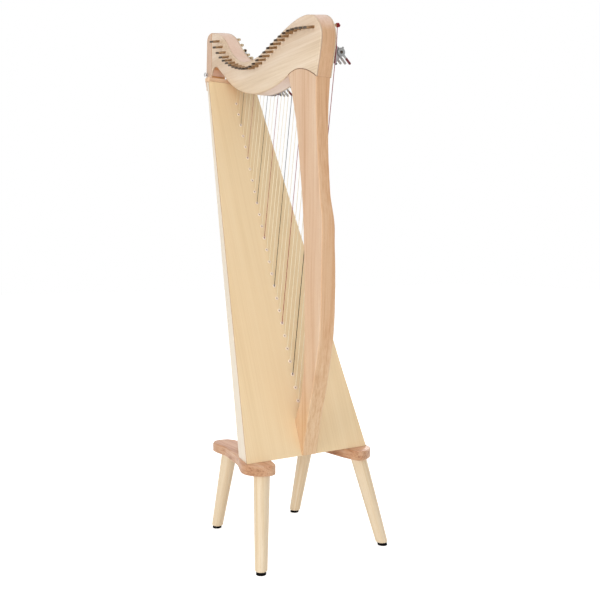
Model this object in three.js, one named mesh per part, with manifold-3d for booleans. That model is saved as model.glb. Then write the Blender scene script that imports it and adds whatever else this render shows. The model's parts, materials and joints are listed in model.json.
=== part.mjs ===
// Lever harp: a staved soundbox on a four-legged stand, a pillar, a neck and 27 strings with
// sharping levers. Millimetres, +Z up, -Y towards the pillar, strings and levers on the neck's +X side.
import * as THREE from 'three';
import { mergeVertices } from 'three/addons/utils/BufferGeometryUtils.js';
import Module from 'manifold-3d';

const wasm = await Module();
wasm.setup();

// Clearances and cuts
const seatGap = 0.3;
const overrun = 6;
const weldDepth = 0.8;
const mergeTolerance = 0.0001;

// Stand
const standHeight = 238;
const bracketThickness = 24;
const bracketLength = 330;
const bracketEdge = 4;
const legTopRadius = 19.5;
const legEndRadius = 14.5;
const legEndRounding = 3;
const tenonRadius = 8;
const tenonLength = 13;
const footRadius = 12;
const footHeight = 7;
const footTrim = 4;
const footRounding = 1.2;
const frontFootSpread = 34.4;
const frontFootReach = 57;
const backFootSpread = 2.8;
const backFootReach = 70;
const screwRadius = 2.5;
const screwHeadRadius = 5;
const screwHeadHeight = 3;
const screwBite = 12;

// Soundbox
const boardBottomWidth = 348;
const boardTopWidth = 147;
const boardRise = 975;
const boardSetback = 404.6;
const boardThickness = 4;
const staveThickness = 5;
const boxBottomDepth = 185;
const boxTopDepth = 112;
const sideBottomDepth = 70;
const sideTopDepth = 20;
const bottomBoardThickness = 16;
const topBlockHeight = 30;
const braceHeight = 14;
const braceDepth = 10;
const capThickness = 11;
const capProud = 1.5;
const capCornerRadius = 9;
const soundHoleHeight = 96;

// Shoulder post and strap button
const neckThickness = 44;
const postDepth = 38;
const postTaper = 8;
const postHeight = 148;
const postCornerRadius = 20;
const postInset = 24.6;
const buttonHeadRadius = 6.5;
const buttonHeadThickness = 3;
const buttonStemRadius = 3.5;
const buttonStemLength = 6;
const buttonHeight = 34;
const buttonInset = 9;

// Neck and pillar
const cheekThickness = 4;
const neckLength = 574;
const neckRise = 230;
const neckTopLean = 7;
const pillarThickness = 42;
const pillarDepth = 76;
const pillarCornerRadius = 3;
const pillarScoopDepth = 11;
const reliefRadius = 24;
const reliefDepth = 8;

// Strings and tuning pins
const stringCount = 27;
const stringHoleFirst = 102.2;
const stringHolePitch = 34.2;
const stringHoleRadius = 1.6;
const bassStringRadius = 0.9;
const trebleStringRadius = 0.4;
const ribWidth = 18;
const ribThickness = 6;
const ribEndMargin = 15;
const pinRadius = 3.4;
const pinTipRadius = 2.7;
const pinTipLength = 10;
const pinKeySide = 29;
const pinStringSide = 24;
const pinTiltDegrees = 12;
const windingRadius = 4.7;
const windingLength = 8;

// Levers, at their largest size in the bass
const stringStandoff = 20;
const hubStandoff = 34.6;
const hubDrop = 61;
const nutRise = 14;
const leverThickness = 2.6;
const leverSideGap = 0.5;
const hubRadius = 10.5;
const noseHalfWidth = 2.2;
const noseGap = 0.4;
const armHalfWidth = 2.6;
const armEndHalfWidth = 1.5;
const handleReach = 35;
const handleStart = 17;
const handleRadius = 2.3;
const handleRestDegrees = -41;
const leverTravelDegrees = 110;
const pivotRadius = 1.8;
const pivotGap = 0.3;
const pivotHeadRadius = 3.6;
const pivotHeadThickness = 1.5;
const plateThickness = 3;
const plateHalfWidth = 6;
const plateTop = 18;
const plateBottom = 24;
const webThickness = 2.4;
const webRadius = 6.5;
const webFoot = 28;
const webFootReach = 22;
const nutRadius = 2;
const nutReach = 22.5;
const nutProud = 1;

// Shares of the sizes above
const sideTaperShare = 0.22;
const bevelTaperShare = 0.53;
const smallestLeverShare = 0.86;
const screwTaperShare = 0.7;
const reliefShares = [0.156, 0.655];
const soundHoleWidthShare = 0.66;
const soundHoleShares = [0.13, 0.33, 0.52, 0.7];
const braceShares = [0.23, 0.425, 0.61];
const firstPinShare = 0.946;
const lastPinShare = 0.087;
const frontLegShares = [0.809, -0.035];
const backLegShares = [0.685, 0.6];
const screwShares = [[0.742, 0.09], [0.586, 0.37]];

// Stand board outline: across in half widths of the soundboard, along in lengths of the stand board
const bracketOutlineShares = [
  [0.635, -0.05], [0.67, -0.104], [0.718, -0.129], [0.784, -0.13], [0.86, -0.116], [0.953, -0.083],
  [1.026, -0.03], [1.045, 0.03], [1.006, 0.11], [0.933, 0.2], [0.874, 0.32], [0.835, 0.45],
  [0.806, 0.6], [0.84, 0.71], [0.772, 0.785], [0.645, 0.8], [0.508, 0.77], [0.454, 0.69],
  [0.479, 0.53], [0.518, 0.37], [0.565, 0.21], [0.588, 0.07],
];

// Neck outline: forward from the post in neck lengths, down from the shoulder in neck rises
const neckTopShares = [
  [0, 0.003], [0.064, 0.05], [0.129, 0.138], [0.199, 0.32], [0.25, 0.432], [0.303, 0.508],
  [0.364, 0.548], [0.429, 0.56], [0.493, 0.545], [0.598, 0.476], [0.697, 0.402], [0.77, 0.36],
  [0.836, 0.341], [0.895, 0.349], [0.944, 0.392], [0.979, 0.468], [0.998, 0.575], [0.999, 0.652],
  [0.99, 0.757], [0.963, 0.998],
];
const archShares = [
  [0.963, 0.998], [0.909, 0.92], [0.852, 0.87], [0.805, 0.854], [0.761, 0.868], [0.732, 0.889],
];
const neckBottomShares = [
  [0.732, 0.889], [0.674, 0.928], [0.561, 0.965], [0.439, 0.95], [0.319, 0.87], [0.223, 0.757],
  [0.15, 0.626], [0.091, 0.512], [0.06, 0.456], [0.033, 0.441], [0.012, 0.465], [0, 0.53],
];
const pinLineShares = [
  [0.087, 0.13], [0.178, 0.357], [0.277, 0.507], [0.371, 0.596], [0.47, 0.637], [0.568, 0.585],
  [0.672, 0.503], [0.78, 0.441], [0.857, 0.442], [0.946, 0.482],
];

// Pillar: height share, then front and back edges off its chord in pillar depths, and scoop share
const pillarShares = [
  [0, 0, 0.3, 0], [0.045, -0.077, 0.31, 0], [0.07, -0.125, 0.42, 0], [0.094, -0.175, 0.53, 0],
  [0.107, -0.208, 0.47, 0], [0.125, -0.256, 0.38, 0], [0.147, -0.316, 0.29, 0],
  [0.172, -0.385, 0.22, 0], [0.2, -0.46, 0.175, 0], [0.263, -0.605, 0.12, 0],
  [0.345, -0.73, 0.165, 0], [0.425, -0.73, 0.235, 0], [0.53, -0.67, 0.335, 0.1],
  [0.558, -0.66, 0.365, 0.3], [0.585, -0.645, 0.4, 0.36], [0.62, -0.64, 0.45, 0.4],
  [0.655, -0.58, 0.505, 0.74], [0.69, -0.46, 0.57, 0.97], [0.74, -0.365, 0.69, 1],
  [0.813, -0.225, 0.877, 0.95], [0.88, -0.1, 1.04, 0.64], [0.94, -0.015, 1.27, 0.38],
  [1, 0, 1.54, 0.12], [1.028, 0.03, 1.72, 0], [1.06, 0.05, 1.95, 0],
];

// Materials
const materials = {
  spruce: new THREE.MeshStandardMaterial({ color: 0xe8cfa0, roughness: 0.55, metalness: 0 }),
  beech: new THREE.MeshStandardMaterial({ color: 0xdcb48e, roughness: 0.5, metalness: 0 }),
  maple: new THREE.MeshStandardMaterial({ color: 0xead8bc, roughness: 0.5, metalness: 0 }),
  ash: new THREE.MeshStandardMaterial({ color: 0xe6d2b0, roughness: 0.5, metalness: 0 }),
  rubber: new THREE.MeshStandardMaterial({ color: 0x141414, roughness: 0.85, metalness: 0 }),
  steel: new THREE.MeshStandardMaterial({ color: 0x9a9c9e, roughness: 0.35, metalness: 0.9 }),
  nylon: new THREE.MeshStandardMaterial({ color: 0xe9e2d0, roughness: 0.4, metalness: 0 }),
};

const lerp = THREE.MathUtils.lerp;
const radians = THREE.MathUtils.degToRad;
const harp = new THREE.Group();

// Places that several pieces share
const boxTop = standHeight + boardRise;
const bracketBottom = standHeight - bracketThickness;
const boardHalf = boardBottomWidth / 2;
const neckHalf = neckThickness / 2;
const capTop = boxTop + seatGap + capThickness;
const postBottom = capTop + seatGap;
const shoulderTop = postBottom + postHeight;
const postFront = boardSetback + boxTopDepth - postInset;
const postBack = postFront + postDepth;

// Joins and cuts of closed meshes
function solidOf(geometry) {
  const bare = new THREE.BufferGeometry();
  bare.setAttribute('position', geometry.getAttribute('position').clone());
  if (geometry.index) bare.setIndex(geometry.index.clone());
  const merged = mergeVertices(bare, mergeTolerance);
  const corners = merged.index.array;
  const kept = [];
  for (let i = 0; i < corners.length; i += 3) {
    const [a, b, c] = [corners[i], corners[i + 1], corners[i + 2]];
    if (a !== b && b !== c && c !== a) kept.push(a, b, c);
  }
  const vertProperties = merged.getAttribute('position').array;
  return new wasm.Manifold(new wasm.Mesh({ numProp: 3, vertProperties, triVerts: new Uint32Array(kept) }));
}

function geometryOf(solid) {
  const mesh = solid.getMesh();
  const geometry = new THREE.BufferGeometry();
  geometry.setAttribute('position', new THREE.BufferAttribute(Float32Array.from(mesh.vertProperties), 3));
  geometry.setIndex(new THREE.BufferAttribute(Uint32Array.from(mesh.triVerts), 1));
  return geometry;
}

function joined(geometries) {
  return geometries.map(solidOf).reduce((whole, piece) => whole.add(piece));
}

function addPiece(name, geometry, material) {
  const mesh = new THREE.Mesh(geometry, material);
  mesh.name = name;
  harp.add(mesh);
  return mesh;
}

// A closed solid through rings of equal point counts, capped like the flat outline of its first ring
function loft(rings, outline = rings[0].map((point) => new THREE.Vector2(point.x, point.y))) {
  const clockwise = THREE.ShapeUtils.area(outline) < 0;
  const stacked = clockwise ? rings.map((ring) => [...ring].reverse()) : rings;
  const flat = clockwise ? [...outline].reverse() : outline;
  const count = flat.length;
  const indices = [];
  for (let level = 0; level + 1 < stacked.length; level += 1) {
    for (let i = 0; i < count; i += 1) {
      const next = (i + 1) % count;
      const low = level * count;
      const high = low + count;
      indices.push(low + i, low + next, high + next, low + i, high + next, high + i);
    }
  }
  const top = (stacked.length - 1) * count;
  for (const [a, b, c] of THREE.ShapeUtils.triangulateShape(flat, [])) {
    const upward = THREE.ShapeUtils.area([flat[a], flat[b], flat[c]]) > 0;
    const [p, q] = upward ? [b, c] : [c, b];
    indices.push(top + a, top + p, top + q, a, q, p);
  }
  const geometry = new THREE.BufferGeometry().setFromPoints(stacked.flat());
  geometry.setIndex(indices);
  return geometry;
}

// A tube of even section along straight runs, mitred where they meet
function tube(points, radius, sides) {
  const runs = points.slice(1).map((point, i) => point.clone().sub(points[i]).normalize());
  const outline = Array.from({ length: sides }, (_, i) => {
    const angle = (i * Math.PI * 2) / sides;
    return new THREE.Vector2(radius * Math.cos(angle), radius * Math.sin(angle));
  });
  const facing = new THREE.Quaternion().setFromUnitVectors(new THREE.Vector3(0, 0, 1), runs[0]);
  let ring = outline.map(({ x, y }) => new THREE.Vector3(x, y, 0).applyQuaternion(facing).add(points[0]));
  const rings = [ring];
  runs.forEach((run, i) => {
    const end = points[i + 1];
    const mitre = run.clone().add(runs[i + 1] ?? run).normalize();
    ring = ring.map((point) => {
      const travel = end.clone().sub(point).dot(mitre) / run.dot(mitre);
      return point.clone().addScaledVector(run, travel);
    });
    rings.push(ring);
  });
  return loft(rings, outline);
}

// A turned solid about its own +Y axis, from a profile of [radius, height] pairs
function turned(profile, sides) {
  return new THREE.LatheGeometry(profile.map(([radius, height]) => new THREE.Vector2(radius, height)), sides);
}

function rod(radius, from, to, sides) {
  return turned([[0, from], [radius, from], [radius, to], [0, to]], sides);
}

// A plate whose outline lies in the Y-Z plane, from one X to another
const sideways = new THREE.Matrix4().makeBasis(
  new THREE.Vector3(0, 1, 0),
  new THREE.Vector3(0, 0, 1),
  new THREE.Vector3(1, 0, 0),
);

function sidePlate(outline, fromX, toX) {
  const shape = new THREE.Shape(outline);
  const geometry = new THREE.ExtrudeGeometry(shape, { depth: toX - fromX, bevelEnabled: false });
  return geometry.applyMatrix4(sideways).translate(fromX, 0, 0);
}

// The same with a top that leans up from the neck's -X face to its +X face, by a share for each point
function leaningPlate(outline, lifts, fromX, toX) {
  const ring = (x) => {
    const lean = neckTopLean * ((x + neckHalf) / neckThickness);
    return outline.map((point, i) => new THREE.Vector3(x, point.x, point.y + lifts[i] * lean));
  };
  return loft([ring(fromX), ring(toX)], outline);
}

function smooth(points, divisions) {
  return new THREE.SplineCurve(points).getPoints(divisions);
}

// Soundbox walls as planes that face out, each laid through a level line at the foot and one at the top
function boxSection(share) {
  const front = lerp(0, boardSetback, share);
  const half = lerp(boardBottomWidth, boardTopWidth, share) / 2;
  const sideDepth = lerp(sideBottomDepth, sideTopDepth, share);
  const depth = lerp(boxBottomDepth, boxTopDepth, share);
  const sideHalf = half - sideDepth * sideTaperShare;
  const backHalf = sideHalf - (depth - sideDepth) * bevelTaperShare;
  const z = lerp(standHeight, boxTop, share);
  return [
    new THREE.Vector3(-half, front, z),
    new THREE.Vector3(half, front, z),
    new THREE.Vector3(sideHalf, front + sideDepth, z),
    new THREE.Vector3(backHalf, front + depth, z),
    new THREE.Vector3(-backHalf, front + depth, z),
    new THREE.Vector3(-sideHalf, front + sideDepth, z),
  ];
}

const lowSection = boxSection(0);
const highSection = boxSection(1);
const wallPlanes = lowSection.map((start, i) => {
  const end = lowSection[(i + 1) % lowSection.length];
  return new THREE.Plane().setFromCoplanarPoints(start, end, highSection[i]);
});
const [boardPlane, leftSidePlane, leftBevelPlane, backPlane, rightBevelPlane, rightSidePlane] = wallPlanes;

function inward(plane, distance) {
  return new THREE.Plane(plane.normal.clone(), plane.constant + distance);
}

function corner(first, second, z) {
  const a = first.normal;
  const b = second.normal;
  const p = -(first.constant + a.z * z);
  const q = -(second.constant + b.z * z);
  const determinant = a.x * b.y - a.y * b.x;
  return new THREE.Vector3((p * b.y - a.y * q) / determinant, (a.x * q - p * b.x) / determinant, z);
}

// One board of the box: outer and inner faces between a start and an end plane pair, at two heights
function boxBoard(plane, thickness, start, end, trim) {
  const inner = inward(plane, thickness);
  const ring = (z) => {
    const points = [
      corner(plane, start.outer, z),
      corner(plane, end.outer, z),
      corner(inner, end.inner, z),
      corner(inner, start.inner, z),
    ];
    const along = points[1].clone().sub(points[0]).normalize();
    [0, 3].forEach((i) => points[i].addScaledVector(along, trim.start));
    [1, 2].forEach((i) => points[i].addScaledVector(along, -trim.end));
    return points;
  };
  return loft([ring(standHeight + seatGap), ring(boxTop)]);
}

function mitre(plane) {
  return { outer: plane, inner: inward(plane, staveThickness) };
}

const boardBack = inward(boardPlane, boardThickness + seatGap);
const boardButt = { outer: boardBack, inner: boardBack };
const halfGap = seatGap / 2;
const mitred = { start: halfGap, end: halfGap };

// Board frame: X across, Y up the soundboard, Z out of its front face
const boardLength = Math.hypot(boardRise, boardSetback);
const upBoard = new THREE.Vector3(0, boardSetback / boardLength, boardRise / boardLength);
const offBoard = new THREE.Vector3(0, -boardRise / boardLength, boardSetback / boardLength);
const boardFrame = new THREE.Matrix4().makeBasis(new THREE.Vector3(1, 0, 0), upBoard, offBoard);
boardFrame.setPosition(0, 0, standHeight);

function stringHoleRise(index) {
  return stringHoleFirst + stringHolePitch * index;
}

// Soundboard with a hole for each string
function makeSoundboard() {
  const edge = (plane) => ({ outer: plane, inner: plane });
  const trim = { start: 0, end: 0 };
  const board = boxBoard(boardPlane, boardThickness, edge(rightSidePlane), edge(leftSidePlane), trim);
  let solid = solidOf(board);
  for (let i = 0; i < stringCount; i += 1) {
    const hole = rod(stringHoleRadius, -overrun, overrun, 5).rotateX(Math.PI / 2);
    hole.translate(0, stringHoleRise(i), 0).applyMatrix4(boardFrame);
    solid = solid.subtract(solidOf(hole));
  }
  addPiece('soundboard', geometryOf(solid), materials.spruce);
}

function makeStaves() {
  const right = mitre(rightBevelPlane);
  const left = mitre(leftBevelPlane);
  const back = mitre(backPlane);
  const butt = { start: 0, end: halfGap };
  const buttEnd = { start: halfGap, end: 0 };
  const sideLeft = boxBoard(leftSidePlane, staveThickness, boardButt, left, butt);
  const sideRight = boxBoard(rightSidePlane, staveThickness, right, boardButt, buttEnd);
  const bevelLeft = boxBoard(leftBevelPlane, staveThickness, mitre(leftSidePlane), back, mitred);
  const bevelRight = boxBoard(rightBevelPlane, staveThickness, back, mitre(rightSidePlane), mitred);
  addPiece('side_stave_left', sideLeft, materials.spruce);
  addPiece('side_stave_right', sideRight, materials.spruce);
  addPiece('bevel_stave_left', bevelLeft, materials.spruce);
  addPiece('bevel_stave_right', bevelRight, materials.spruce);
  let panel = solidOf(boxBoard(backPlane, staveThickness, left, right, mitred));
  for (const share of soundHoleShares) {
    panel = panel.subtract(solidOf(soundHole(share)));
  }
  addPiece('back_panel', geometryOf(panel), materials.spruce);
}

function backHalfAt(share) {
  return boxSection(share)[3].x;
}

// An oval cutter through the back panel
function soundHole(share) {
  const centre = boxSection(share)[3];
  const oval = new THREE.Shape();
  oval.absellipse(0, 0, backHalfAt(share) * soundHoleWidthShare, soundHoleHeight / 2, 0, Math.PI * 2);
  const depth = soundHoleHeight + (staveThickness + overrun) * 2;
  const geometry = new THREE.ExtrudeGeometry(oval, { depth, bevelEnabled: false, curveSegments: 12 });
  return geometry.rotateX(Math.PI / 2).translate(0, centre.y + depth / 2, centre.z);
}

// A block that fills the inside of the box between two heights
function innerBlock(fromZ, toZ) {
  const faces = wallPlanes.map((plane) => {
    const thickness = plane === boardPlane ? boardThickness : staveThickness;
    return inward(plane, thickness + seatGap);
  });
  const ring = (z) => faces.map((face, i) => corner(face, faces[(i + 1) % faces.length], z));
  return loft([ring(fromZ), ring(toZ)]);
}

function makeBlocksAndBraces() {
  const floor = standHeight + seatGap;
  let bottom = solidOf(innerBlock(floor, floor + bottomBoardThickness));
  for (const place of screwPlaces()) {
    const bore = rod(screwRadius + seatGap, floor - overrun, floor + screwBite + seatGap, 8);
    bottom = bottom.subtract(solidOf(bore.rotateX(Math.PI / 2).translate(place.x, place.y, 0)));
  }
  addPiece('bottom_board', geometryOf(bottom), materials.beech);
  addPiece('top_block', innerBlock(boxTop - topBlockHeight, boxTop), materials.beech);
  braceShares.forEach((share, i) => {
    const z = boxSection(share)[3].z;
    const outer = inward(backPlane, staveThickness + seatGap);
    const inner = inward(outer, braceDepth);
    const right = inward(rightBevelPlane, staveThickness + seatGap);
    const left = inward(leftBevelPlane, staveThickness + seatGap);
    const ring = (height) => [
      corner(outer, left, height),
      corner(outer, right, height),
      corner(inner, right, height),
      corner(inner, left, height),
    ];
    const brace = loft([ring(z - braceHeight / 2), ring(z + braceHeight / 2)]);
    addPiece(`back_brace_${i + 1}`, brace, materials.beech);
  });
}

// Slab on the box, its front corners rounded, drawn in to the post at the back
function makeCap() {
  const front = boardSetback - capProud;
  const half = boardTopWidth / 2 + capProud;
  const backHalf = neckHalf + capProud;
  const shape = new THREE.Shape();
  shape.moveTo(-half + capCornerRadius, front);
  shape.lineTo(half - capCornerRadius, front);
  shape.quadraticCurveTo(half, front, half, front + capCornerRadius);
  shape.lineTo(half, front + sideTopDepth);
  shape.lineTo(backHalf, postBack - capCornerRadius);
  shape.quadraticCurveTo(backHalf, postBack, backHalf - capCornerRadius, postBack);
  shape.lineTo(-backHalf + capCornerRadius, postBack);
  shape.quadraticCurveTo(-backHalf, postBack, -backHalf, postBack - capCornerRadius);
  shape.lineTo(-half, front + sideTopDepth);
  shape.lineTo(-half, front + capCornerRadius);
  shape.quadraticCurveTo(-half, front, -half + capCornerRadius, front);
  const flat = { depth: capThickness, bevelEnabled: false, curveSegments: 4 };
  const geometry = new THREE.ExtrudeGeometry(shape, flat);
  addPiece('top_cap', geometry.translate(0, 0, boxTop + seatGap), materials.beech);
}

function makePost() {
  const cornerStart = shoulderTop - postCornerRadius;
  const shape = new THREE.Shape();
  shape.moveTo(postFront, postBottom);
  shape.lineTo(postBack, postBottom);
  shape.lineTo(postBack - postTaper, cornerStart);
  shape.absarc(postBack - postTaper - postCornerRadius, cornerStart, postCornerRadius, 0, Math.PI / 2);
  shape.lineTo(postFront, shoulderTop);
  const outline = shape.getPoints(6);
  const lifts = outline.map((point) => Math.max(0, (point.y - cornerStart) / postCornerRadius));
  addPiece('shoulder_post', leaningPlate(outline, lifts, -neckHalf, neckHalf), materials.beech);
  const face = seatGap;
  const button = turned([
    [0, face], [buttonStemRadius, face], [buttonStemRadius, face + buttonStemLength],
    [buttonHeadRadius, face + buttonStemLength],
    [buttonHeadRadius, face + buttonStemLength + buttonHeadThickness / 2],
    [buttonHeadRadius / 2, face + buttonStemLength + buttonHeadThickness],
    [0, face + buttonStemLength + buttonHeadThickness],
  ], 14);
  button.rotateZ(Math.PI / 2).translate(-neckHalf, postBack - buttonInset, postBottom + buttonHeight);
  addPiece('strap_button', button, materials.steel);
}

// Neck outline in the Y-Z plane
const neckBack = postFront - seatGap;

function neckPoint([forward, down]) {
  return new THREE.Vector2(neckBack - forward * neckLength, shoulderTop - down * neckRise);
}

const topDivisions = 26;
const frontDivisions = 6;
const archPoints = smooth(archShares.map(neckPoint), 8);
const neckOutline = [
  ...smooth(neckTopShares.map(neckPoint), topDivisions),
  ...archPoints.slice(1),
  ...smooth(neckBottomShares.map(neckPoint), 20).slice(1),
];
const neckLifts = neckOutline.map((_, i) => (
  THREE.MathUtils.clamp((topDivisions - i) / frontDivisions, 0, 1)
));

function neckLayer(fromX, toX) {
  return solidOf(leaningPlate(neckOutline, neckLifts, fromX, toX));
}

// Tuning pins, evenly spaced along Y on the pin line
const pinLine = smooth(pinLineShares.map(neckPoint), 60);
const pinTilt = radians(pinTiltDegrees);

function heightOn(line, y) {
  const index = line.findIndex((point, i) => i > 0 && (point.x - y) * (line[i - 1].x - y) <= 0);
  const [before, after] = [line[index - 1], line[index]];
  return lerp(before.y, after.y, (y - before.x) / (after.x - before.x));
}

function pinPlace(index) {
  const share = lerp(firstPinShare, lastPinShare, index / (stringCount - 1));
  const edge = neckPoint([share, 0]).x;
  const inLine = THREE.MathUtils.clamp(edge, pinLine.at(-1).x, pinLine[0].x);
  return new THREE.Vector3(0, edge, heightOn(pinLine, inLine));
}

function alongPin(geometry, index) {
  const place = pinPlace(index);
  return geometry.rotateZ(-Math.PI / 2).rotateY(-pinTilt).translate(place.x, place.y, place.z);
}

// Everything that follows one string, index 0 in the bass
function stringPlace(index) {
  const size = lerp(1, smallestLeverShare, index / (stringCount - 1));
  const radius = lerp(bassStringRadius, trebleStringRadius, index / (stringCount - 1));
  const pin = pinPlace(index);
  const stringX = neckHalf + stringStandoff * size;
  const top = new THREE.Vector3(
    stringX,
    pin.y - windingRadius - seatGap - radius,
    pin.z + stringX * Math.tan(pinTilt),
  );
  const foot = new THREE.Vector3(0, stringHoleRise(index), seatGap + radius).applyMatrix4(boardFrame);
  const lean = Math.atan2(top.y - foot.y, top.z - foot.z);
  const up = new THREE.Vector3(0, Math.sin(lean), Math.cos(lean));
  const hub = top.clone().addScaledVector(up, -hubDrop * size);
  const nut = hub.clone().addScaledVector(up, nutRise * size);
  hub.x = neckHalf + hubStandoff * size;
  const run = nut.clone().sub(foot).dot(up);
  const stringAtHub = stringX * (1 - (nutRise * size) / run);
  return { index, size, radius, foot, nut, top, hub, lean, stringAtHub };
}

const strings = Array.from({ length: stringCount }, (_, index) => stringPlace(index));

// Rib inside the soundboard with the strings that it holds, each through its own hole
function makeStringRib() {
  const ribBack = -boardThickness - seatGap - ribThickness;
  const from = stringHoleRise(0) - ribEndMargin;
  const to = stringHoleRise(stringCount - 1) + ribEndMargin;
  const rib = new THREE.BoxGeometry(ribWidth, to - from, ribThickness);
  rib.translate(0, (from + to) / 2, ribBack + ribThickness / 2).applyMatrix4(boardFrame);
  let solid = solidOf(rib);
  for (const { foot, nut, top, radius } of strings) {
    const knot = foot.clone().addScaledVector(offBoard, ribBack + ribThickness / 2);
    solid = solid.add(solidOf(tube([knot, foot, nut, top], radius, 4)));
  }
  addPiece('string_rib', geometryOf(solid), materials.nylon);
}

// Neck core between two cheeks, the tuning pins through all three, and a lever bracket at each string
function makeNeck() {
  const coreHalf = neckHalf - cheekThickness - seatGap;
  let core = neckLayer(-coreHalf, coreHalf);
  let rightCheek = neckLayer(-neckHalf, -neckHalf + cheekThickness);
  let leftCheek = neckLayer(neckHalf - cheekThickness, neckHalf);
  const slant = 1 / Math.cos(pinTilt);
  const keyEnd = -(neckHalf + pinKeySide) * slant;
  const stringEnd = (neckHalf + pinStringSide) * slant;
  for (const place of strings) {
    const pin = turned([
      [0, keyEnd], [pinTipRadius, keyEnd], [pinRadius, keyEnd + pinTipLength],
      [pinRadius, stringEnd - windingLength], [windingRadius, stringEnd - windingLength],
      [windingRadius, stringEnd], [0, stringEnd],
    ], 5);
    rightCheek = rightCheek.add(solidOf(alongPin(pin, place.index)));
    const bore = solidOf(alongPin(rod(pinRadius + seatGap, keyEnd, stringEnd, 5), place.index));
    core = core.subtract(bore);
    leftCheek = leftCheek.subtract(bore);
  }
  const relief = rod(reliefRadius, neckHalf - reliefDepth, neckThickness, 16).rotateZ(-Math.PI / 2);
  const reliefCentre = neckPoint(reliefShares);
  const reliefCut = solidOf(relief.translate(0, reliefCentre.x, reliefCentre.y));
  core = core.subtract(reliefCut);
  leftCheek = leftCheek.subtract(reliefCut);
  for (const place of strings) {
    leftCheek = leftCheek.add(leverBracket(place));
  }
  addPiece('neck_core', geometryOf(core), materials.beech);
  addPiece('neck_cheek_right', geometryOf(rightCheek), materials.maple);
  addPiece('neck_cheek_left', geometryOf(leftCheek), materials.maple);
}

// A plate in a lever's own X-Z plane, from one Y to another
function leverPlate(shape, fromY, toY, curveSegments) {
  const flat = { depth: toY - fromY, bevelEnabled: false, curveSegments };
  const geometry = new THREE.ExtrudeGeometry(shape, flat);
  return geometry.rotateX(Math.PI / 2).translate(0, toY, 0);
}

// Fixed part of a lever: base plate, web, pivot screw and the nut pin that the string bears on
function leverBracket({ size, radius, lean, hub }) {
  const neckFace = -hubStandoff * size;
  const webStart = (leverThickness / 2) * size + leverSideGap;
  const webEnd = webStart + webThickness * size;
  const root = neckFace - weldDepth;
  const base = new THREE.BoxGeometry(
    plateThickness * size + weldDepth,
    plateHalfWidth * 2 * size,
    (plateTop + plateBottom) * size,
  );
  base.translate((root + neckFace + plateThickness * size) / 2, 0, ((plateTop - plateBottom) / 2) * size);
  const web = new THREE.Shape();
  web.moveTo(root, -webFoot * size);
  web.lineTo(neckFace + webFootReach * size, -webFoot * size);
  web.absarc(0, 0, webRadius * size, -Math.PI / 4, Math.PI / 2);
  web.lineTo(neckFace + (nutReach - nutProud) * size, nutRise * size);
  web.lineTo(root, nutRise * size);
  const nutCentre = radius + seatGap + nutRadius * size;
  const nut = rod(nutRadius * size, root, neckFace + nutReach * size, 5).rotateZ(-Math.PI / 2);
  nut.translate(0, nutCentre, nutRise * size);
  const headStart = -webStart - pivotHeadThickness * size;
  const pivot = turned([
    [0, headStart], [pivotHeadRadius * size, headStart], [pivotHeadRadius * size, -webStart],
    [pivotRadius * size, -webStart], [pivotRadius * size, webEnd - weldDepth], [0, webEnd - weldDepth],
  ], 5);
  const bracket = geometryOf(joined([base, leverPlate(web, webStart, webEnd, 2), nut, pivot]));
  return solidOf(bracket.rotateX(-lean).translate(hub.x, hub.y, hub.z));
}

// Moving part of a lever: a disc on the pivot with a nose for the string and a handle
function leverArm({ size, radius, hub, stringAtHub }) {
  const noseReach = hub.x - stringAtHub - radius - noseGap;
  const handle = radians(handleRestDegrees);
  const nose = Math.PI - radians(leverTravelDegrees);
  const disc = hubRadius * size;
  const armHalf = armHalfWidth * size;
  const noseHalf = noseHalfWidth * size;
  const armAngle = Math.asin(armHalf / disc);
  const noseAngle = Math.asin(noseHalf / disc);
  const reach = handleReach * size;
  const at = (angle, along, across) => new THREE.Vector2(
    along * Math.cos(angle) - across * Math.sin(angle),
    along * Math.sin(angle) + across * Math.cos(angle),
  );
  const arc = (from, to, steps) => Array.from({ length: steps + 1 }, (_, i) => (
    at(lerp(from, to, i / steps), disc, 0)
  ));
  const shape = new THREE.Shape([
    ...arc(handle + armAngle, nose - noseAngle, 2),
    at(nose, noseReach - noseHalf, -noseHalf),
    at(nose, noseReach, 0),
    at(nose, noseReach - noseHalf, noseHalf),
    ...arc(nose + noseAngle, Math.PI * 2 + handle - armAngle, 5),
    at(handle, reach, -armEndHalfWidth * size),
    at(handle, reach, armEndHalfWidth * size),
  ]);
  const bore = new THREE.Path();
  bore.absarc(0, 0, pivotRadius * size + pivotGap, 0, Math.PI * 2, true);
  shape.holes.push(bore);
  const halfThickness = (leverThickness / 2) * size;
  const grip = rod(handleRadius * size, handleStart * size, reach + handleRadius * size, 5);
  grip.rotateZ(-Math.PI / 2).rotateY(-handle);
  return geometryOf(joined([leverPlate(shape, -halfThickness, halfThickness, 3), grip]));
}

function makeLevers() {
  for (const place of strings) {
    const number = String(stringCount - place.index).padStart(2, '0');
    const lever = addPiece(`lever_${number}`, leverArm(place), materials.steel);
    lever.position.copy(place.hub);
    lever.rotation.x = -place.lean;
  }
}

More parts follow.
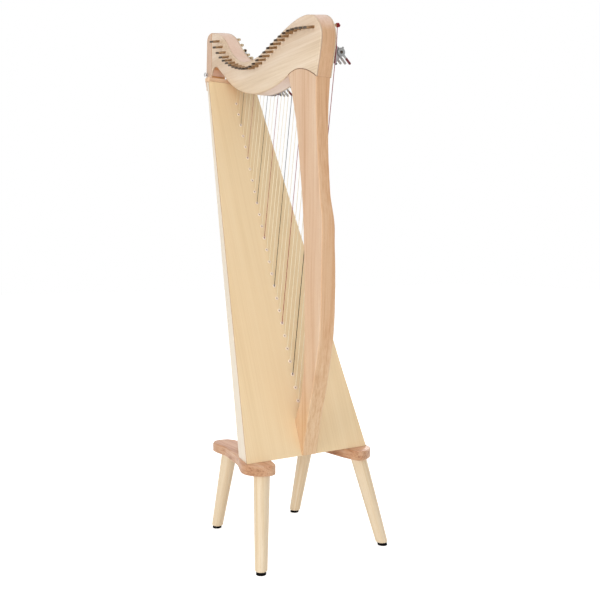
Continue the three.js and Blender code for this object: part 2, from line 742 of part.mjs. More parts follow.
// Pillar: level rings of rounded rectangles, trimmed by the neck's arch and by the soundboard
function makePillar() {
  const jointFront = neckPoint(archShares[0]);
  const chordHeight = jointFront.y - standHeight;
  const rows = pillarShares.map(([height, front, back]) => new THREE.Vector3(height, front, back));
  const scoops = pillarShares.map(([height, , , scoop]) => new THREE.Vector2(height, scoop));
  const edges = new THREE.CatmullRomCurve3(rows);
  const scoopCurve = new THREE.SplineCurve(scoops);
  const levels = 32;
  const rings = [];
  for (let level = 0; level <= levels; level += 1) {
    const row = edges.getPoint(level / levels);
    const scoop = Math.max(0, scoopCurve.getPoint(level / levels).y) * pillarScoopDepth;
    const chord = lerp(0, jointFront.x, row.x);
    const front = chord + row.y * pillarDepth;
    const back = chord + row.z * pillarDepth;
    rings.push(roundedRing(front, back, scoop, standHeight - overrun + row.x * (chordHeight + overrun)));
  }
  const cap = archPoints.map((point) => new THREE.Vector2(point.x, point.y - seatGap));
  const roof = shoulderTop;
  const archCut = sidePlate([
    new THREE.Vector2(cap[0].x - neckLength, cap[0].y),
    ...cap,
    new THREE.Vector2(cap.at(-1).x + pillarDepth, cap.at(-1).y - pillarDepth / 2),
    new THREE.Vector2(cap.at(-1).x + pillarDepth, roof),
    new THREE.Vector2(cap[0].x - neckLength, roof),
  ], -neckThickness, neckThickness);
  const boardCut = new THREE.BoxGeometry(boardBottomWidth, boardLength * 2, boardBottomWidth);
  boardCut.translate(0, 0, seatGap - boardBottomWidth / 2).applyMatrix4(boardFrame);
  const floorCut = new THREE.BoxGeometry(boardBottomWidth, boardBottomWidth, bracketThickness);
  floorCut.translate(0, 0, standHeight + seatGap - bracketThickness / 2);
  const shaft = solidOf(loft(rings)).subtract(solidOf(archCut)).subtract(solidOf(boardCut));
  addPiece('pillar', geometryOf(shaft.subtract(solidOf(floorCut))), materials.beech);
}

function roundedRing(front, back, scoop, z) {
  const half = pillarThickness / 2;
  const radius = Math.min(pillarCornerRadius, (back - front) / 3);
  const corners = [
    [half - scoop - radius, back - radius, 0],
    [radius - half, back - radius, 1],
    [radius - half, front + radius, 2],
    [half - scoop - radius, front + radius, 3],
  ];
  return corners.flatMap(([x, y, quarter]) => [0, 0.5, 1].map((step) => {
    const angle = ((quarter + step) * Math.PI) / 2;
    return new THREE.Vector3(x + radius * Math.cos(angle), y + radius * Math.sin(angle), z);
  }));
}

// Stand boards, legs and feet, mirrored left and right
function onBracket([across, along], side) {
  return new THREE.Vector3(side * across * boardHalf, along * bracketLength, bracketBottom);
}

function screwPlaces() {
  return [-1, 1].flatMap((side) => screwShares.map((shares) => onBracket(shares, side)));
}

function legAxis(shares, spread, reach, side) {
  const top = onBracket(shares, side);
  const foot = new THREE.Vector3(top.x + side * spread, top.y + reach, 0);
  const along = top.clone().sub(foot);
  const length = along.length();
  const turn = new THREE.Quaternion().setFromUnitVectors(new THREE.Vector3(0, 1, 0), along.normalize());
  const place = (geometry) => geometry.applyQuaternion(turn).translate(foot.x, foot.y, foot.z);
  return { length, place };
}

function makeLeg(name, { length, place }) {
  const legEnd = footHeight + seatGap;
  const leg = place(turned([
    [0, legEnd], [legEndRadius - legEndRounding, legEnd], [legEndRadius, legEnd + legEndRounding],
    [legTopRadius, length], [legTopRadius, length + legTopRadius], [0, length + legTopRadius],
  ], 12));
  const above = new THREE.BoxGeometry(boardBottomWidth * 2, boardBottomWidth * 4, bracketLength);
  above.translate(0, 0, bracketBottom - seatGap + bracketLength / 2);
  const tenon = place(rod(tenonRadius, length - legTopRadius, length + tenonLength, 10));
  const solid = solidOf(leg).subtract(solidOf(above)).add(solidOf(tenon));
  addPiece(`${name}_leg`, geometryOf(solid), materials.ash);
  const foot = place(turned([
    [0, -footTrim], [footRadius, -footTrim], [footRadius, footHeight - footRounding],
    [footRadius - footRounding, footHeight], [0, footHeight],
  ], 12));
  const ground = new THREE.BoxGeometry(boardBottomWidth * 2, bracketLength * 4, bracketLength);
  ground.translate(0, 0, -bracketLength / 2);
  addPiece(`${name}_foot`, geometryOf(solidOf(foot).subtract(solidOf(ground))), materials.rubber);
}

function makeStand() {
  for (const [side, sideName] of [[-1, 'right'], [1, 'left']]) {
    const points = bracketOutlineShares.map((shares) => onBracket(shares, side));
    const curve = new THREE.CatmullRomCurve3(points, true);
    const outline = curve.getPoints(28).slice(0, -1).map((point) => new THREE.Vector2(point.x, point.y));
    const board = new THREE.ExtrudeGeometry(new THREE.Shape(outline), {
      depth: bracketThickness - 2 * bracketEdge,
      bevelThickness: bracketEdge,
      bevelSize: bracketEdge,
      bevelOffset: -bracketEdge,
      bevelSegments: 1,
    });
    board.translate(0, 0, bracketBottom + bracketEdge);
    const axes = {
      front: legAxis(frontLegShares, frontFootSpread, -frontFootReach, side),
      back: legAxis(backLegShares, backFootSpread, backFootReach, side),
    };
    let solid = solidOf(board);
    for (const [end, axis] of Object.entries(axes)) {
      const mortise = rod(
        tenonRadius + seatGap,
        axis.length - legTopRadius,
        axis.length + tenonLength + seatGap,
        10,
      );
      solid = solid.subtract(solidOf(axis.place(mortise)));
      makeLeg(`${end}_${sideName}`, axis);
    }
    screwShares.forEach((shares, i) => {
      const place = onBracket(shares, side);
      const head = bracketBottom - seatGap - screwHeadHeight;
      const bore = rod(screwRadius + seatGap, bracketBottom - overrun, standHeight + overrun, 8);
      solid = solid.subtract(solidOf(bore.rotateX(Math.PI / 2).translate(place.x, place.y, 0)));
      const screw = turned([
        [0, head], [screwHeadRadius * screwTaperShare, head], [screwHeadRadius, head + screwHeadHeight],
        [screwRadius, head + screwHeadHeight], [screwRadius, standHeight + screwBite],
        [0, standHeight + screwBite],
      ], 8);
      screw.rotateX(Math.PI / 2).translate(place.x, place.y, 0);
      addPiece(`stand_screw_${sideName}_${i + 1}`, screw, materials.steel);
    });
    addPiece(`stand_board_${sideName}`, geometryOf(solid), materials.beech);
  }
}

makeSoundboard();
makeStaves();
makeBlocksAndBraces();
makeCap();
makePost();
makeStringRib();
makeNeck();
makeLevers();
makePillar();
makeStand();

// Origin on the floor under the middle of the outer box
const box = new THREE.Box3().setFromObject(harp);
const whole = new THREE.Group();
harp.position.set(-(box.min.x + box.max.x) / 2, -(box.min.y + box.max.y) / 2, 0);
whole.add(harp);
whole.updateMatrixWorld(true);

export default whole;
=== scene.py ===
# Lever harp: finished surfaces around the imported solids. Metres, +Z up, strings on the neck's +X side.
import json
import math
from collections import namedtuple

import bmesh
import bpy
from mathutils import Matrix, Vector, geometry


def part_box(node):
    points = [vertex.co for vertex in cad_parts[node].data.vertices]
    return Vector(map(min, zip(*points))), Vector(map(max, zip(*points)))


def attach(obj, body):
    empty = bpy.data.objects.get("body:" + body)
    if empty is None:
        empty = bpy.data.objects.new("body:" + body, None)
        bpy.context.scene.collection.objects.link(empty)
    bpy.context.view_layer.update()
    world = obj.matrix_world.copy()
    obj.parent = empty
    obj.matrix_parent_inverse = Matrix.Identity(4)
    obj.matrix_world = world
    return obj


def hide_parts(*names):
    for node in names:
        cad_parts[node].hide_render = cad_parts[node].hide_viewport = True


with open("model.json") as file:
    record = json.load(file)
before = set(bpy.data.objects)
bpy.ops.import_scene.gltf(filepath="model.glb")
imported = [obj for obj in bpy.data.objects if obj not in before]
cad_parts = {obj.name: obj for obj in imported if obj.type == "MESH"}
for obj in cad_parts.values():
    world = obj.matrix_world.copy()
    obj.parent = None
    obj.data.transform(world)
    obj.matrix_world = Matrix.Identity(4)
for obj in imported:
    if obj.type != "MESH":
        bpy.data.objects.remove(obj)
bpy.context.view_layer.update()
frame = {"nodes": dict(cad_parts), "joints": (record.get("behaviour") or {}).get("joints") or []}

mm = 0.001
across = Vector((1, 0, 0))
ahead = Vector((0, -1, 0))
up = Vector((0, 0, 1))

# Fineness and edges
weld = 0.01 * mm
face_depth = 0.05 * mm
outline_reach = 0.5 * mm
axis_radius = 0.02 * mm
edge_steps = 4
tube_sides = 8
rod_sides = 20
head_sides = 24
eyelet_sides = 28
button_sides = 40
corner_angle = math.radians(24)
turn_step = math.radians(4)
crisp_edge = 0.5 * mm
soft_edge = 1.4 * mm
cap_edge = 2.24 * mm
cheek_edge = 3 * mm
stand_edge = 3.6 * mm
stand_chamfer = 4 * mm
seat_gap = 0.3 * mm

# Neck and pins
neck_half = 22 * mm
neck_front_depth = 60 * mm
neck_front_lean = 0.35
pin_tilt = math.radians(12)
pin_axis = Vector((math.cos(pin_tilt), 0, math.sin(pin_tilt)))
pin_radius = 3.4 * mm
pin_chamfer = 0.7 * mm
pin_shoulder = 1.4 * mm
pin_key_side = 29 * mm
pin_string_side = 24 * mm
pin_seat = 2 * mm
key_length = 8 * mm
key_half = 2.35 * mm
key_chamfer = 0.6 * mm
key_gap = 0.05 * mm

# Levers in the bass, at their largest
string_standoff = 20 * mm
hub_standoff = 34.6 * mm
nut_rise = 14 * mm
nut_radius = 2 * mm
nut_reach = 22.5 * mm
lever_thickness = 2.6 * mm
lever_side_gap = 0.5 * mm
lever_edge = 0.35 * mm
hub_radius = 10.5 * mm
nose_gap = 0.4 * mm
nose_half = 2.2 * mm
arm_half = 2.6 * mm
arm_end_half = 1.5 * mm
handle_reach = 35 * mm
handle_start = 19 * mm
handle_radius = 3 * mm
sleeve_rim = 0.2 * mm
sleeve_lip = 0.9 * mm
handle_rest = math.radians(-41)
lever_travel = math.radians(110)
pivot_radius = 1.8 * mm
pivot_gap = 0.3 * mm
pivot_seat = 0.5 * mm
pivot_overrun = 0.6 * mm
pivot_edge = 0.1 * mm
pivot_head_radius = 3.6 * mm
pivot_head_height = 1.5 * mm
plate_thickness = 3 * mm
plate_half_width = 6 * mm
plate_top = 18 * mm
plate_bottom = 24 * mm
plate_corner = 2.5 * mm
plate_edge = 0.6 * mm
plate_screw_inset = 4 * mm
plate_screw_radius = 2.6 * mm
plate_screw_height = 1.1 * mm
web_thickness = 2.4 * mm
web_radius = 6.5 * mm
web_foot = 28 * mm
web_foot_reach = 22 * mm
web_seat = 0.4 * mm
web_nut_inset = 1 * mm

# Strings, their rib and their eyelets
string_count = 27
bass_radius = 0.9 * mm
treble_radius = 0.4 * mm
string_end_depth = 9 * mm
winding_turns = 4
winding_points = 20
winding_pitch_share = 2.15
board_thickness = 4 * mm
rib_half_width = 9 * mm
rib_depth = 6 * mm
rib_overhang = 15 * mm
eyelet_radius = 5.2 * mm
eyelet_treble_share = 0.82
eyelet_bore = 1.7 * mm
eyelet_wall = 0.5 * mm
eyelet_height = 1.6 * mm
eyelet_depth = 3 * mm
# A dark disc in each eyelet's bore paints the shade of the hole; these are its heights.
mouth_start = 0.1 * mm
mouth_height = 0.4 * mm

# Pillar
pillar_rounding = 3 * mm
pillar_joint_depth = 36 * mm
pillar_foot_rise = 94 * mm
pillar_foot_margin = 4 * mm
pillar_overrun = 12 * mm
pillar_levels = 90
pillar_rows_below = 7
pillar_rows_above = 60
pillar_side_steps = 22
pillar_corner_steps = 6
arch_rounds = 6
# Radius of the dark line painted as shade along the seam between pillar and neck.
seam_shade_radius = 0.8 * mm

# Stand
leg_end_radius = 14.5 * mm
leg_top_radius = 19.5 * mm
leg_rounding = 3 * mm
leg_sides = 48
foot_radius = 11.6 * mm
foot_rounding = 1.6 * mm
foot_sides = 40
stand_screw_edge = 0.25 * mm

# Studio. The camera is fitted to the photo. Its Y is measured from just ahead of the soundboard.
floor_half = 14.0
camera_place = Vector((-1030.45, -1597.89, 720.65)) * mm
camera_origin_ahead = 0.12 * mm
camera_dip = math.radians(3.058)
camera_heading = math.radians(-32.12)
camera_lens = 46.916
lamps = (
    ("key", (-3.3, -0.9, 1.2), (0, 0, 0.6), 1.8, 37),
    ("fill", (-1.1, -2.7, 0.3), (0, 0, 0.4), 2.0, 22),
    ("top", (-0.7, -0.5, 3.4), (0, 0, 0.6), 2.2, 10),
    ("back", (2.6, 2.6, 1.6), (0, 0, 0.6), 2.0, 28),
    ("left", (3.2, 0.4, 1.1), (0, 0, 0.6), 2.0, 24),
)


def screen(red, green, blue):
    """Linear colour of an 8-bit screen colour."""
    def linear(value):
        share = value / 255
        return share / 12.92 if share <= 0.04045 else ((share + 0.055) / 1.055) ** 2.4
    return (linear(red), linear(green), linear(blue), 1.0)


# Shader building
def feed(tree, node, inputs):
    """Set a node's inputs, each to a value or to another node's output."""
    for key, value in inputs.items():
        if isinstance(value, bpy.types.NodeSocket):
            tree.links.new(value, node.inputs[key])
        else:
            node.inputs[key].default_value = value


def add(tree, kind, inputs=None, **settings):
    node = tree.nodes.new(kind)
    for key, value in settings.items():
        setattr(node, key, value)
    feed(tree, node, inputs or {})
    return node


def maths(tree, operation, first, second=0.0, third=0.0, clamp=False):
    inputs = {0: first, 1: second, 2: third}
    return add(tree, "ShaderNodeMath", inputs, operation=operation, use_clamp=clamp).outputs[0]


def vectors(tree, operation, *inputs):
    return add(tree, "ShaderNodeVectorMath", dict(enumerate(inputs)), operation=operation).outputs


def ramp(tree, value, stops):
    node = add(tree, "ShaderNodeValToRGB", {0: value})
    elements = node.color_ramp.elements
    while len(elements) < len(stops):
        elements.new(0.5)
    for element, (place, tone) in zip(elements, stops):
        element.position = place
        element.color = screen(*tone)
    return node.outputs[0]


def mixed(tree, share, first, second, blend="MIX"):
    inputs = {0: share, 6: first, 7: second}
    return add(tree, "ShaderNodeMix", inputs, data_type="RGBA", blend_type=blend).outputs[2]


def noise(tree, vector, detail, roughness=0.5, scale=1.0):
    inputs = {"Vector": vector, "Scale": scale, "Detail": detail, "Roughness": roughness}
    return add(tree, "ShaderNodeTexNoise", inputs).outputs["Fac"]


def bump(tree, height, strength, distance):
    inputs = {"Strength": strength, "Distance": distance, "Height": height}
    return add(tree, "ShaderNodeBump", inputs).outputs[0]


def object_place(tree):
    return add(tree, "ShaderNodeTexCoord").outputs["Object"]


def grain_space(tree, along, through):
    """Object coordinates in millimetres: across the grain, through the face, along the grain."""
    place = object_place(tree)
    axes = (along.cross(through).normalized(), through, along)
    parts = [vectors(tree, "DOT_PRODUCT", place, axis / mm)["Value"] for axis in axes]
    return add(tree, "ShaderNodeCombineXYZ", dict(enumerate(parts))).outputs[0]


def figure(tree, space, periods, shift, detail, roughness=0.5):
    """Noise in the grain space, stretched along each axis to its period in millimetres."""
    rates = Vector([1 / period for period in periods])
    return noise(tree, vectors(tree, "MULTIPLY_ADD", space, rates, Vector([shift] * 3))[0], detail, roughness)


def surface(name):
    material = bpy.data.materials.new(name)
    material.use_nodes = True
    tree = material.node_tree
    return material, tree, tree.nodes["Principled BSDF"]


def wood(name, tones, along, through, look, seed, turned=()):
    """Varnished wood. turned has rows of a direction and the tone that multiplies the faces which look
    that way, and where the tone changes with the height also the lower tone and the two heights that
    they blend between. Most rows paint light and shade onto faces by the way they look; the
    soundboard's rows only make its side edges darker."""
    material, tree, shader = surface(name)
    space = grain_space(tree, along.normalized(), through.normalized())
    bow = figure(tree, space, (90, 90, 420), seed, 1.0)
    sway = maths(tree, "MULTIPLY_ADD", bow, look.sway, -look.sway / 2)
    offset = add(tree, "ShaderNodeCombineXYZ", {0: sway, 1: sway}).outputs[0]
    bent = vectors(tree, "ADD", space, offset)[0]
    bands = figure(tree, bent, look.bands, seed + 3, 2.0)
    lines = figure(tree, bent, look.lines, seed + 7, 3.0, 0.6)
    fibre = figure(tree, bent, look.fibre, seed + 11, 4.0, 0.65)
    value = 0.5 - sum(look.shares) / 2
    for part, share in zip((bands, lines, fibre), look.shares):
        value = maths(tree, "MULTIPLY_ADD", part, share, value)
    colour = ramp(tree, value, list(zip((0.1, 0.5, 0.9), tones)))
    if look.fleck_share:
        flecks = figure(tree, bent, look.flecks, seed + 17, 2.0)
        there = maths(tree, "MULTIPLY_ADD", flecks, 7.0, -4.2, True)
        share = maths(tree, "MULTIPLY", there, look.fleck_share)
        colour = mixed(tree, share, colour, screen(*tones[3]), "MULTIPLY")
    sense = add(tree, "ShaderNodeTexCoord")
    height = add(tree, "ShaderNodeSeparateXYZ", {0: sense.outputs["Object"]}).outputs["Z"]
    # Painted light and shade: each row tints the faces that look its way, blended by height where it has two
    # tones.
    for direction, tone, *lower in turned:
        lean = vectors(tree, "DOT_PRODUCT", sense.outputs["Normal"], direction)["Value"]
        share = maths(tree, "MULTIPLY_ADD", lean, 2.5, -1.0, True)
        tint = screen(*tone)
        if lower:
            low_tone, start, end = lower
            upper = maths(tree, "MULTIPLY_ADD", height, 1 / (end - start), start / (start - end), True)
            tint = mixed(tree, upper, screen(*low_tone), tint)
        colour = mixed(tree, share, colour, tint, "MULTIPLY")
    relief = maths(tree, "MULTIPLY_ADD", lines, 0.4, fibre)
    feed(tree, shader, {
        "Base Color": colour, "Roughness": maths(tree, "MULTIPLY_ADD", fibre, 0.16, look.roughness - 0.08),
        "Normal": bump(tree, relief, 0.22, 0.12 * mm), "Specular IOR Level": 0.3,
        "Coat Weight": 0.12, "Coat Roughness": 0.28,
    })
    return material


def rubber(name):
    """Black rubber with a fine tooth and faint broad patches."""
    material, tree, shader = surface(name)
    place = object_place(tree)
    fine = noise(tree, place, 3.0, scale=2200.0)
    broad = noise(tree, place, 2.0, scale=120.0)
    feed(tree, shader, {
        "Base Color": ramp(tree, broad, ((0.3, (3, 3, 3)), (0.7, (9, 9, 10)))),
        "Roughness": maths(tree, "MULTIPLY_ADD", fine, 0.2, 0.6),
        "Normal": bump(tree, fine, 0.35, 0.08 * mm), "Specular IOR Level": 0.06,
    })
    return material


def metal(name, dark, light, roughness):
    """Brushed or plated metal with fine scratches and slight tarnish."""
    material, tree, shader = surface(name)
    place = object_place(tree)
    scratch = noise(tree, place, 5.0, 0.7, 900.0)
    tarnish = noise(tree, place, 3.0, scale=100.0)
    share = maths(tree, "MULTIPLY_ADD", scratch, 0.35, maths(tree, "MULTIPLY", tarnish, 0.65))
    feed(tree, shader, {
        "Base Color": ramp(tree, share, ((0.3, dark), (0.7, light))),
        "Roughness": maths(tree, "MULTIPLY_ADD", scratch, 0.22, roughness - 0.11),
        "Normal": bump(tree, scratch, 0.12, 0.04 * mm), "Metallic": 1.0,
    })
    return material


def plastic(name, dark, light, roughness, shine=0.5):
    """Moulded plastic, nylon or gut, with slight mottling; shine is the strength of its reflections."""
    material, tree, shader = surface(name)
    mottle = noise(tree, object_place(tree), 3.0, scale=420.0)
    feed(tree, shader, {
        "Base Color": ramp(tree, mottle, ((0.3, dark), (0.7, light))),
        "Roughness": maths(tree, "MULTIPLY_ADD", mottle, 0.14, roughness - 0.07),
        "Specular IOR Level": shine,
    })
    return material


# A wood's sway and the periods of its figure in millimetres, then the strengths of bands, lines and fibre
Look = namedtuple("Look", "sway bands lines fibre flecks shares fleck_share roughness")
spruce_look = Look(
    5.0, (30, 30, 2600), (2.4, 2.4, 620), (0.45, 0.45, 26), (1, 1, 1), (0.6, 0.5, 0.22), 0.0, 0.44
)
beech_look = Look(
    12.0, (26, 26, 620), (4.5, 4.5, 240), (0.5, 0.5, 16), (0.55, 0.55, 4.2), (0.7, 0.55, 0.3), 0.55, 0.42
)
pillar_look = beech_look._replace(
    bands=(12, 26, 620), lines=(3.4, 4.5, 300), shares=(0.85, 0.95, 0.3), fleck_share=0.35
)
stand_look = beech_look._replace(bands=(13, 13, 380), lines=(3, 3, 150), shares=(1.1, 1.2, 0.3))
maple_look = Look(
    18.0, (30, 30, 300), (3.2, 3.2, 200), (0.4, 0.4, 14), (0.6, 0.6, 6), (0.95, 0.8, 0.25), 0.2, 0.42
)
ash_look = Look(
    6.0, (7, 7, 420), (2.2, 2.2, 180), (0.4, 0.4, 12), (0.4, 0.4, 9), (1.1, 0.6, 0.25), 0.35, 0.46
)

# Dark, middle and light tones of each wood, and its flecks
spruce_tones = ((225, 195, 148), (240, 214, 172), (247, 225, 188))
stave_tones = ((220, 203, 178), (233, 219, 197), (241, 230, 212))
beech_tones = ((200, 152, 114), (221, 184, 150), (232, 203, 174), (192, 140, 106))
post_tones = ((186, 150, 122), (208, 176, 150), (218, 192, 170), (180, 132, 104))
stand_tones = ((168, 112, 78), (212, 162, 128), (226, 188, 160), (168, 112, 80))
neck_tones = ((216, 180, 154), (232, 199, 177), (240, 214, 196), (196, 150, 122))
maple_tones = ((200, 174, 140), (224, 202, 174), (238, 221, 200), (200, 174, 144))
ash_tones = ((212, 184, 142), (227, 206, 174), (236, 220, 194), (200, 168, 122))
inner_tones = ((196, 160, 116), (214, 182, 138), (226, 198, 158), (180, 140, 100))


# Mesh building: a part is a pair of points and faces in the row frame
def placed(origin, axis):
    """A frame with +Z along axis and +X as near across, or up, as it can be."""
    z = axis.normalized()
    helper = across if abs(z.x) < 0.9 else up
    x = (helper - z * helper.dot(z)).normalized()
    return Matrix.Translation(origin) @ Matrix((x, z.cross(x), z)).transposed().to_4x4()


# Frames that stand an outline up: its points as (Y, Z) or as (X, Z), with its height along the third axis
sideways = Matrix(((0, 0, 1), (1, 0, 0), (0, 1, 0))).to_4x4()
edgeways = Matrix(((1, 0, 0), (0, 0, 1), (0, 1, 0))).to_4x4()


def skin(start, levels, count, joined=False):
    """Side faces over rings of points that are numbered from start."""
    faces = []
    for level in range(levels if joined else levels - 1):
        low = start + level * count
        high = start + (level + 1) % levels * count
        faces += [(low + i, low + (i + 1) % count, high + (i + 1) % count, high + i) for i in range(count)]
    return faces


def loft(rings, joined=False):
    """Skin over rings of equal counts, with both ends capped or the last ring joined to the first."""
    points = [point for ring in rings for point in ring]
    total, count = len(points), len(rings[0])
    caps = [] if joined else [tuple(range(count - 1, -1, -1)), tuple(range(total - count, total))]
    return points, skin(0, len(rings), count, joined) + caps


def angles(sides):
    """Even angles round a circle."""
    return [math.tau * k / sides for k in range(sides)]


def lathe(profile, sides, place, joined=False):
    """A turned part about the frame's Z from (radius, height) pairs."""
    return loft([
        [place @ Vector((radius * math.cos(a), radius * math.sin(a), height)) for a in angles(sides)]
        for radius, height in profile
    ], joined)


def rim(rounding, steps):
    """How far in and how far up the points of a rounded rim lie, from its face to its side."""
    turns = [math.pi / 2 * k / steps for k in range(steps + 1)]
    return [(rounding * (1 - math.sin(a)), rounding * (1 - math.cos(a))) for a in turns]


def rounded_profile(radius, end, rounding):
    """Profile of a rod with both rims rounded."""
    low = [(radius - depth, rise) for depth, rise in rim(rounding, edge_steps)]
    return low + [(r, end - height) for r, height in reversed(low)]


def dome(radius, start, height, degrees, power=1.0):
    """Profile points over a rounded end."""
    turns = [math.radians(angle) for angle in degrees]
    return [(radius * math.cos(a) ** power, start + height * math.sin(a)) for a in turns]


def arc(centre, radius, start, end, steps):
    turns = [start + (end - start) * k / steps for k in range(steps + 1)]
    return [(centre[0] + radius * math.cos(a), centre[1] + radius * math.sin(a)) for a in turns]


def tube(points, radius):
    """A round tube along points, turned as little as it can be."""
    normal = (points[1] - points[0]).orthogonal()
    rings = []
    for i, point in enumerate(points):
        tangent = (points[min(i + 1, len(points) - 1)] - points[max(i - 1, 0)]).normalized()
        normal = (normal - tangent * normal.dot(tangent)).normalized()
        binormal = tangent.cross(normal)
        rings.append([
            point + (normal * math.cos(a) + binormal * math.sin(a)) * radius for a in angles(tube_sides)
        ])
    return loft(rings)


def sides_of(loop):
    return list(zip(loop, loop[1:] + loop[:1]))


def area(loop):
    return sum(a.x * b.y - a.y * b.x for a, b in sides_of(loop)) / 2


def middle(loop):
    return sum(loop[1:], loop[0]) / len(loop)


def inset(loop, distance):
    """A flat loop moved to its left by a distance."""
    moved = []
    for i, point in enumerate(loop):
        before = (point - loop[i - 1]).normalized()
        after = (loop[(i + 1) % len(loop)] - point).normalized()
        left = Vector((-before.y, before.x))
        mitre = left + Vector((-after.y, after.x))
        if mitre.length < 0.2:
            mitre = left
        mitre.normalize()
        moved.append(point + mitre * distance / max(0.4, mitre.dot(left)))
    return moved


def refined(loops):
    """Parallel loops with their curved stretches drawn out finely, each with the same count of points."""
    count = len(loops[0])

    def directions(loop):
        edges = [b - a for a, b in sides_of(loop)]
        tangents = []
        for i in range(count):
            a, b = edges[i - 1], edges[i]
            if a.angle(b, 0) > corner_angle:
                tangents.append(None)
            elif a.length > 3 * b.length:
                tangents.append(a.normalized())
            elif b.length > 3 * a.length:
                tangents.append(b.normalized())
            else:
                tangents.append((a.normalized() * b.length + b.normalized() * a.length).normalized())
        for edge, (start, end) in zip(edges, sides_of(tangents)):
            chord = edge.normalized()
            if start is None and end is None:
                start = end = chord
            elif start is None:
                start = (2 * end.dot(chord) * chord - end).normalized()
            elif end is None:
                end = (2 * start.dot(chord) * chord - start).normalized()
            yield edge, start, end

    steps = [
        max(1, min(8, math.ceil(start.angle(end, 0) / turn_step))) for _, start, end in directions(loops[0])
    ]
    result = []
    for loop in loops:
        points = []
        for (a, b), (edge, start, end), step_count in zip(sides_of(loop), directions(loop), steps):
            reach = edge.length / 3
            curve = geometry.interpolate_bezier(a, a + start * reach, b - end * reach, b, step_count + 1)
            points += curve[:-1]
        result.append(points)
    return result


def slab(pairs, low, high, edge, place):
    """A board between two heights in a frame. Each pair is a loop at its low and at its high face, the
    outer pair first."""
    rims = [(depth, low + rise) for depth, rise in rim(edge, edge_steps)]
    rims += [(depth, high + low - height) for depth, height in reversed(rims)]
    points, faces, ends = [], [], ([], [])
    for number, pair in enumerate(pairs):
        bottom, top = refined([[Vector(point) for point in loop] for loop in pair])
        if (area(top) > 0) == (number > 0):
            bottom.reverse()
            top.reverse()
        first, count = len(points), len(bottom)
        for depth, height in rims:
            share = (height - low) / (high - low)
            loop = inset([a.lerp(b, share) for a, b in zip(bottom, top)], depth)
            points += [place @ Vector((*point, height)) for point in loop]
        faces += skin(first, len(rims), count)
        ends[0].append(range(first, first + count))
        ends[1].append(range(len(points) - count, len(points)))
    for loops in ends:
        indices = [index for loop in loops for index in loop]
        for triangle in geometry.tessellate_polygon([[points[index] for index in loop] for loop in loops]):
            faces.append(tuple(indices[i] for i in triangle))
    return points, faces


def prism(loops, low, high, edge, place):
    """A board whose two faces are alike."""
    return slab([(loop, loop) for loop in loops], low, high, edge, place)


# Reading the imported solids
def solid(node):
    """A working copy of a solid's mesh, with its corners joined."""
    mesh = bmesh.new()
    mesh.from_mesh(frame["nodes"][node].data)
    bmesh.ops.remove_doubles(mesh, verts=mesh.verts, dist=weld)
    return mesh


def taken(mesh):
    """The part that a working mesh holds."""
    mesh.verts.index_update()
    part = [v.co.copy() for v in mesh.verts], [tuple(v.index for v in f.verts) for f in mesh.faces]
    mesh.free()
    return part


def sliced(mesh, point, normal, kind, clear=False):
    """The points or edges where a plane cuts a working mesh; clear takes away what lies behind it."""
    geom = [*mesh.verts, *mesh.edges, *mesh.faces]
    cut = bmesh.ops.bisect_plane(mesh, geom=geom, plane_co=point, plane_no=normal, clear_inner=clear)
    return [part for part in cut["geom_cut"] if isinstance(part, kind)]


def walked(edges):
    """The closed loops that a set of edges makes."""
    links = {}
    for edge in edges:
        a, b = edge.verts
        links.setdefault(a, []).append(b)
        links.setdefault(b, []).append(a)
    loops = []
    while links:
        loop = []
        here = next(iter(links))
        while here:
            loop.append(here.co.copy())
            here = next((vertex for vertex in links.pop(here) if vertex in links), None)
        loops.append(loop)
    return loops


def trimmed(loop):
    """A loop without the points that lie on straight runs."""
    kept = []
    for i, point in enumerate(loop):
        before = point - loop[i - 1]
        after = loop[(i + 1) % len(loop)] - point
        if before.length > weld and before.angle(after, 0) > math.radians(0.5):
            kept.append(point)
    return kept


def face_loops(node, normal, side):
    """Loops round a solid's flat face at its low (-1) or high (1) end along a direction, longest first."""
    mesh = solid(node)
    flat = [face for face in mesh.faces if face.normal.dot(normal) * side > 0.9995]
    end = max(side * face.calc_center_median().dot(normal) for face in flat)
    chosen = {face for face in flat if side * face.calc_center_median().dot(normal) > end - face_depth}
    edges = [edge for edge in mesh.edges if sum(face in chosen for face in edge.link_faces) == 1]
    loops = [loop for loop in map(trimmed, walked(edges)) if len(loop) > 2]
    mesh.free()
    return sorted(loops, key=lambda loop: -sum((a - b).length for a, b in sides_of(loop))), side * end


def matched(loop, other):
    """The other loop, turned and directed so that its points face this loop's."""
    choices = []
    for candidate in (other, other[::-1]):
        start = min(range(len(candidate)), key=lambda i: (candidate[i] - loop[0]).length)
        choices.append(candidate[start:] + candidate[:start])
    return min(choices, key=lambda choice: sum((a - b).length for a, b in zip(loop, choice)))


# Pieces
def board(node, normal, edge):
    """A flat solid rebuilt with fine curves and rounded edges, between its two faces across normal."""
    place = placed(Vector(), normal)
    flat = place.inverted()
    ends, heights = zip(*(face_loops(node, normal, side) for side in (-1, 1)))
    bottoms, tops = ([[(flat @ point).to_2d() for point in loop] for loop in loops] for loops in ends)
    pairs = []
    for top in tops:
        same = [bottom for bottom in bottoms if len(bottom) == len(top)]
        if same:
            near = min(same, key=lambda bottom: (middle(bottom) - middle(top)).length)
            pairs.append((matched(top, near), top))
    return slab(pairs, *heights, edge, place)


def softened(node, edge):
    """A copy of a solid with its long sharp edges rounded."""
    mesh = solid(node)
    bmesh.ops.dissolve_limit(mesh, angle_limit=math.radians(1), verts=mesh.verts, edges=mesh.edges)
    sharp = [e for e in mesh.edges if e.is_manifold and e.calc_face_angle(0) > math.radians(35)]
    bmesh.ops.bevel(
        mesh, geom=sharp, offset=edge, segments=3, profile=0.5, affect="EDGES", clamp_overlap=True
    )
    return taken(mesh)


def linked(name, data):
    item = bpy.data.objects.new(name, data)
    bpy.context.scene.collection.objects.link(item)
    return item


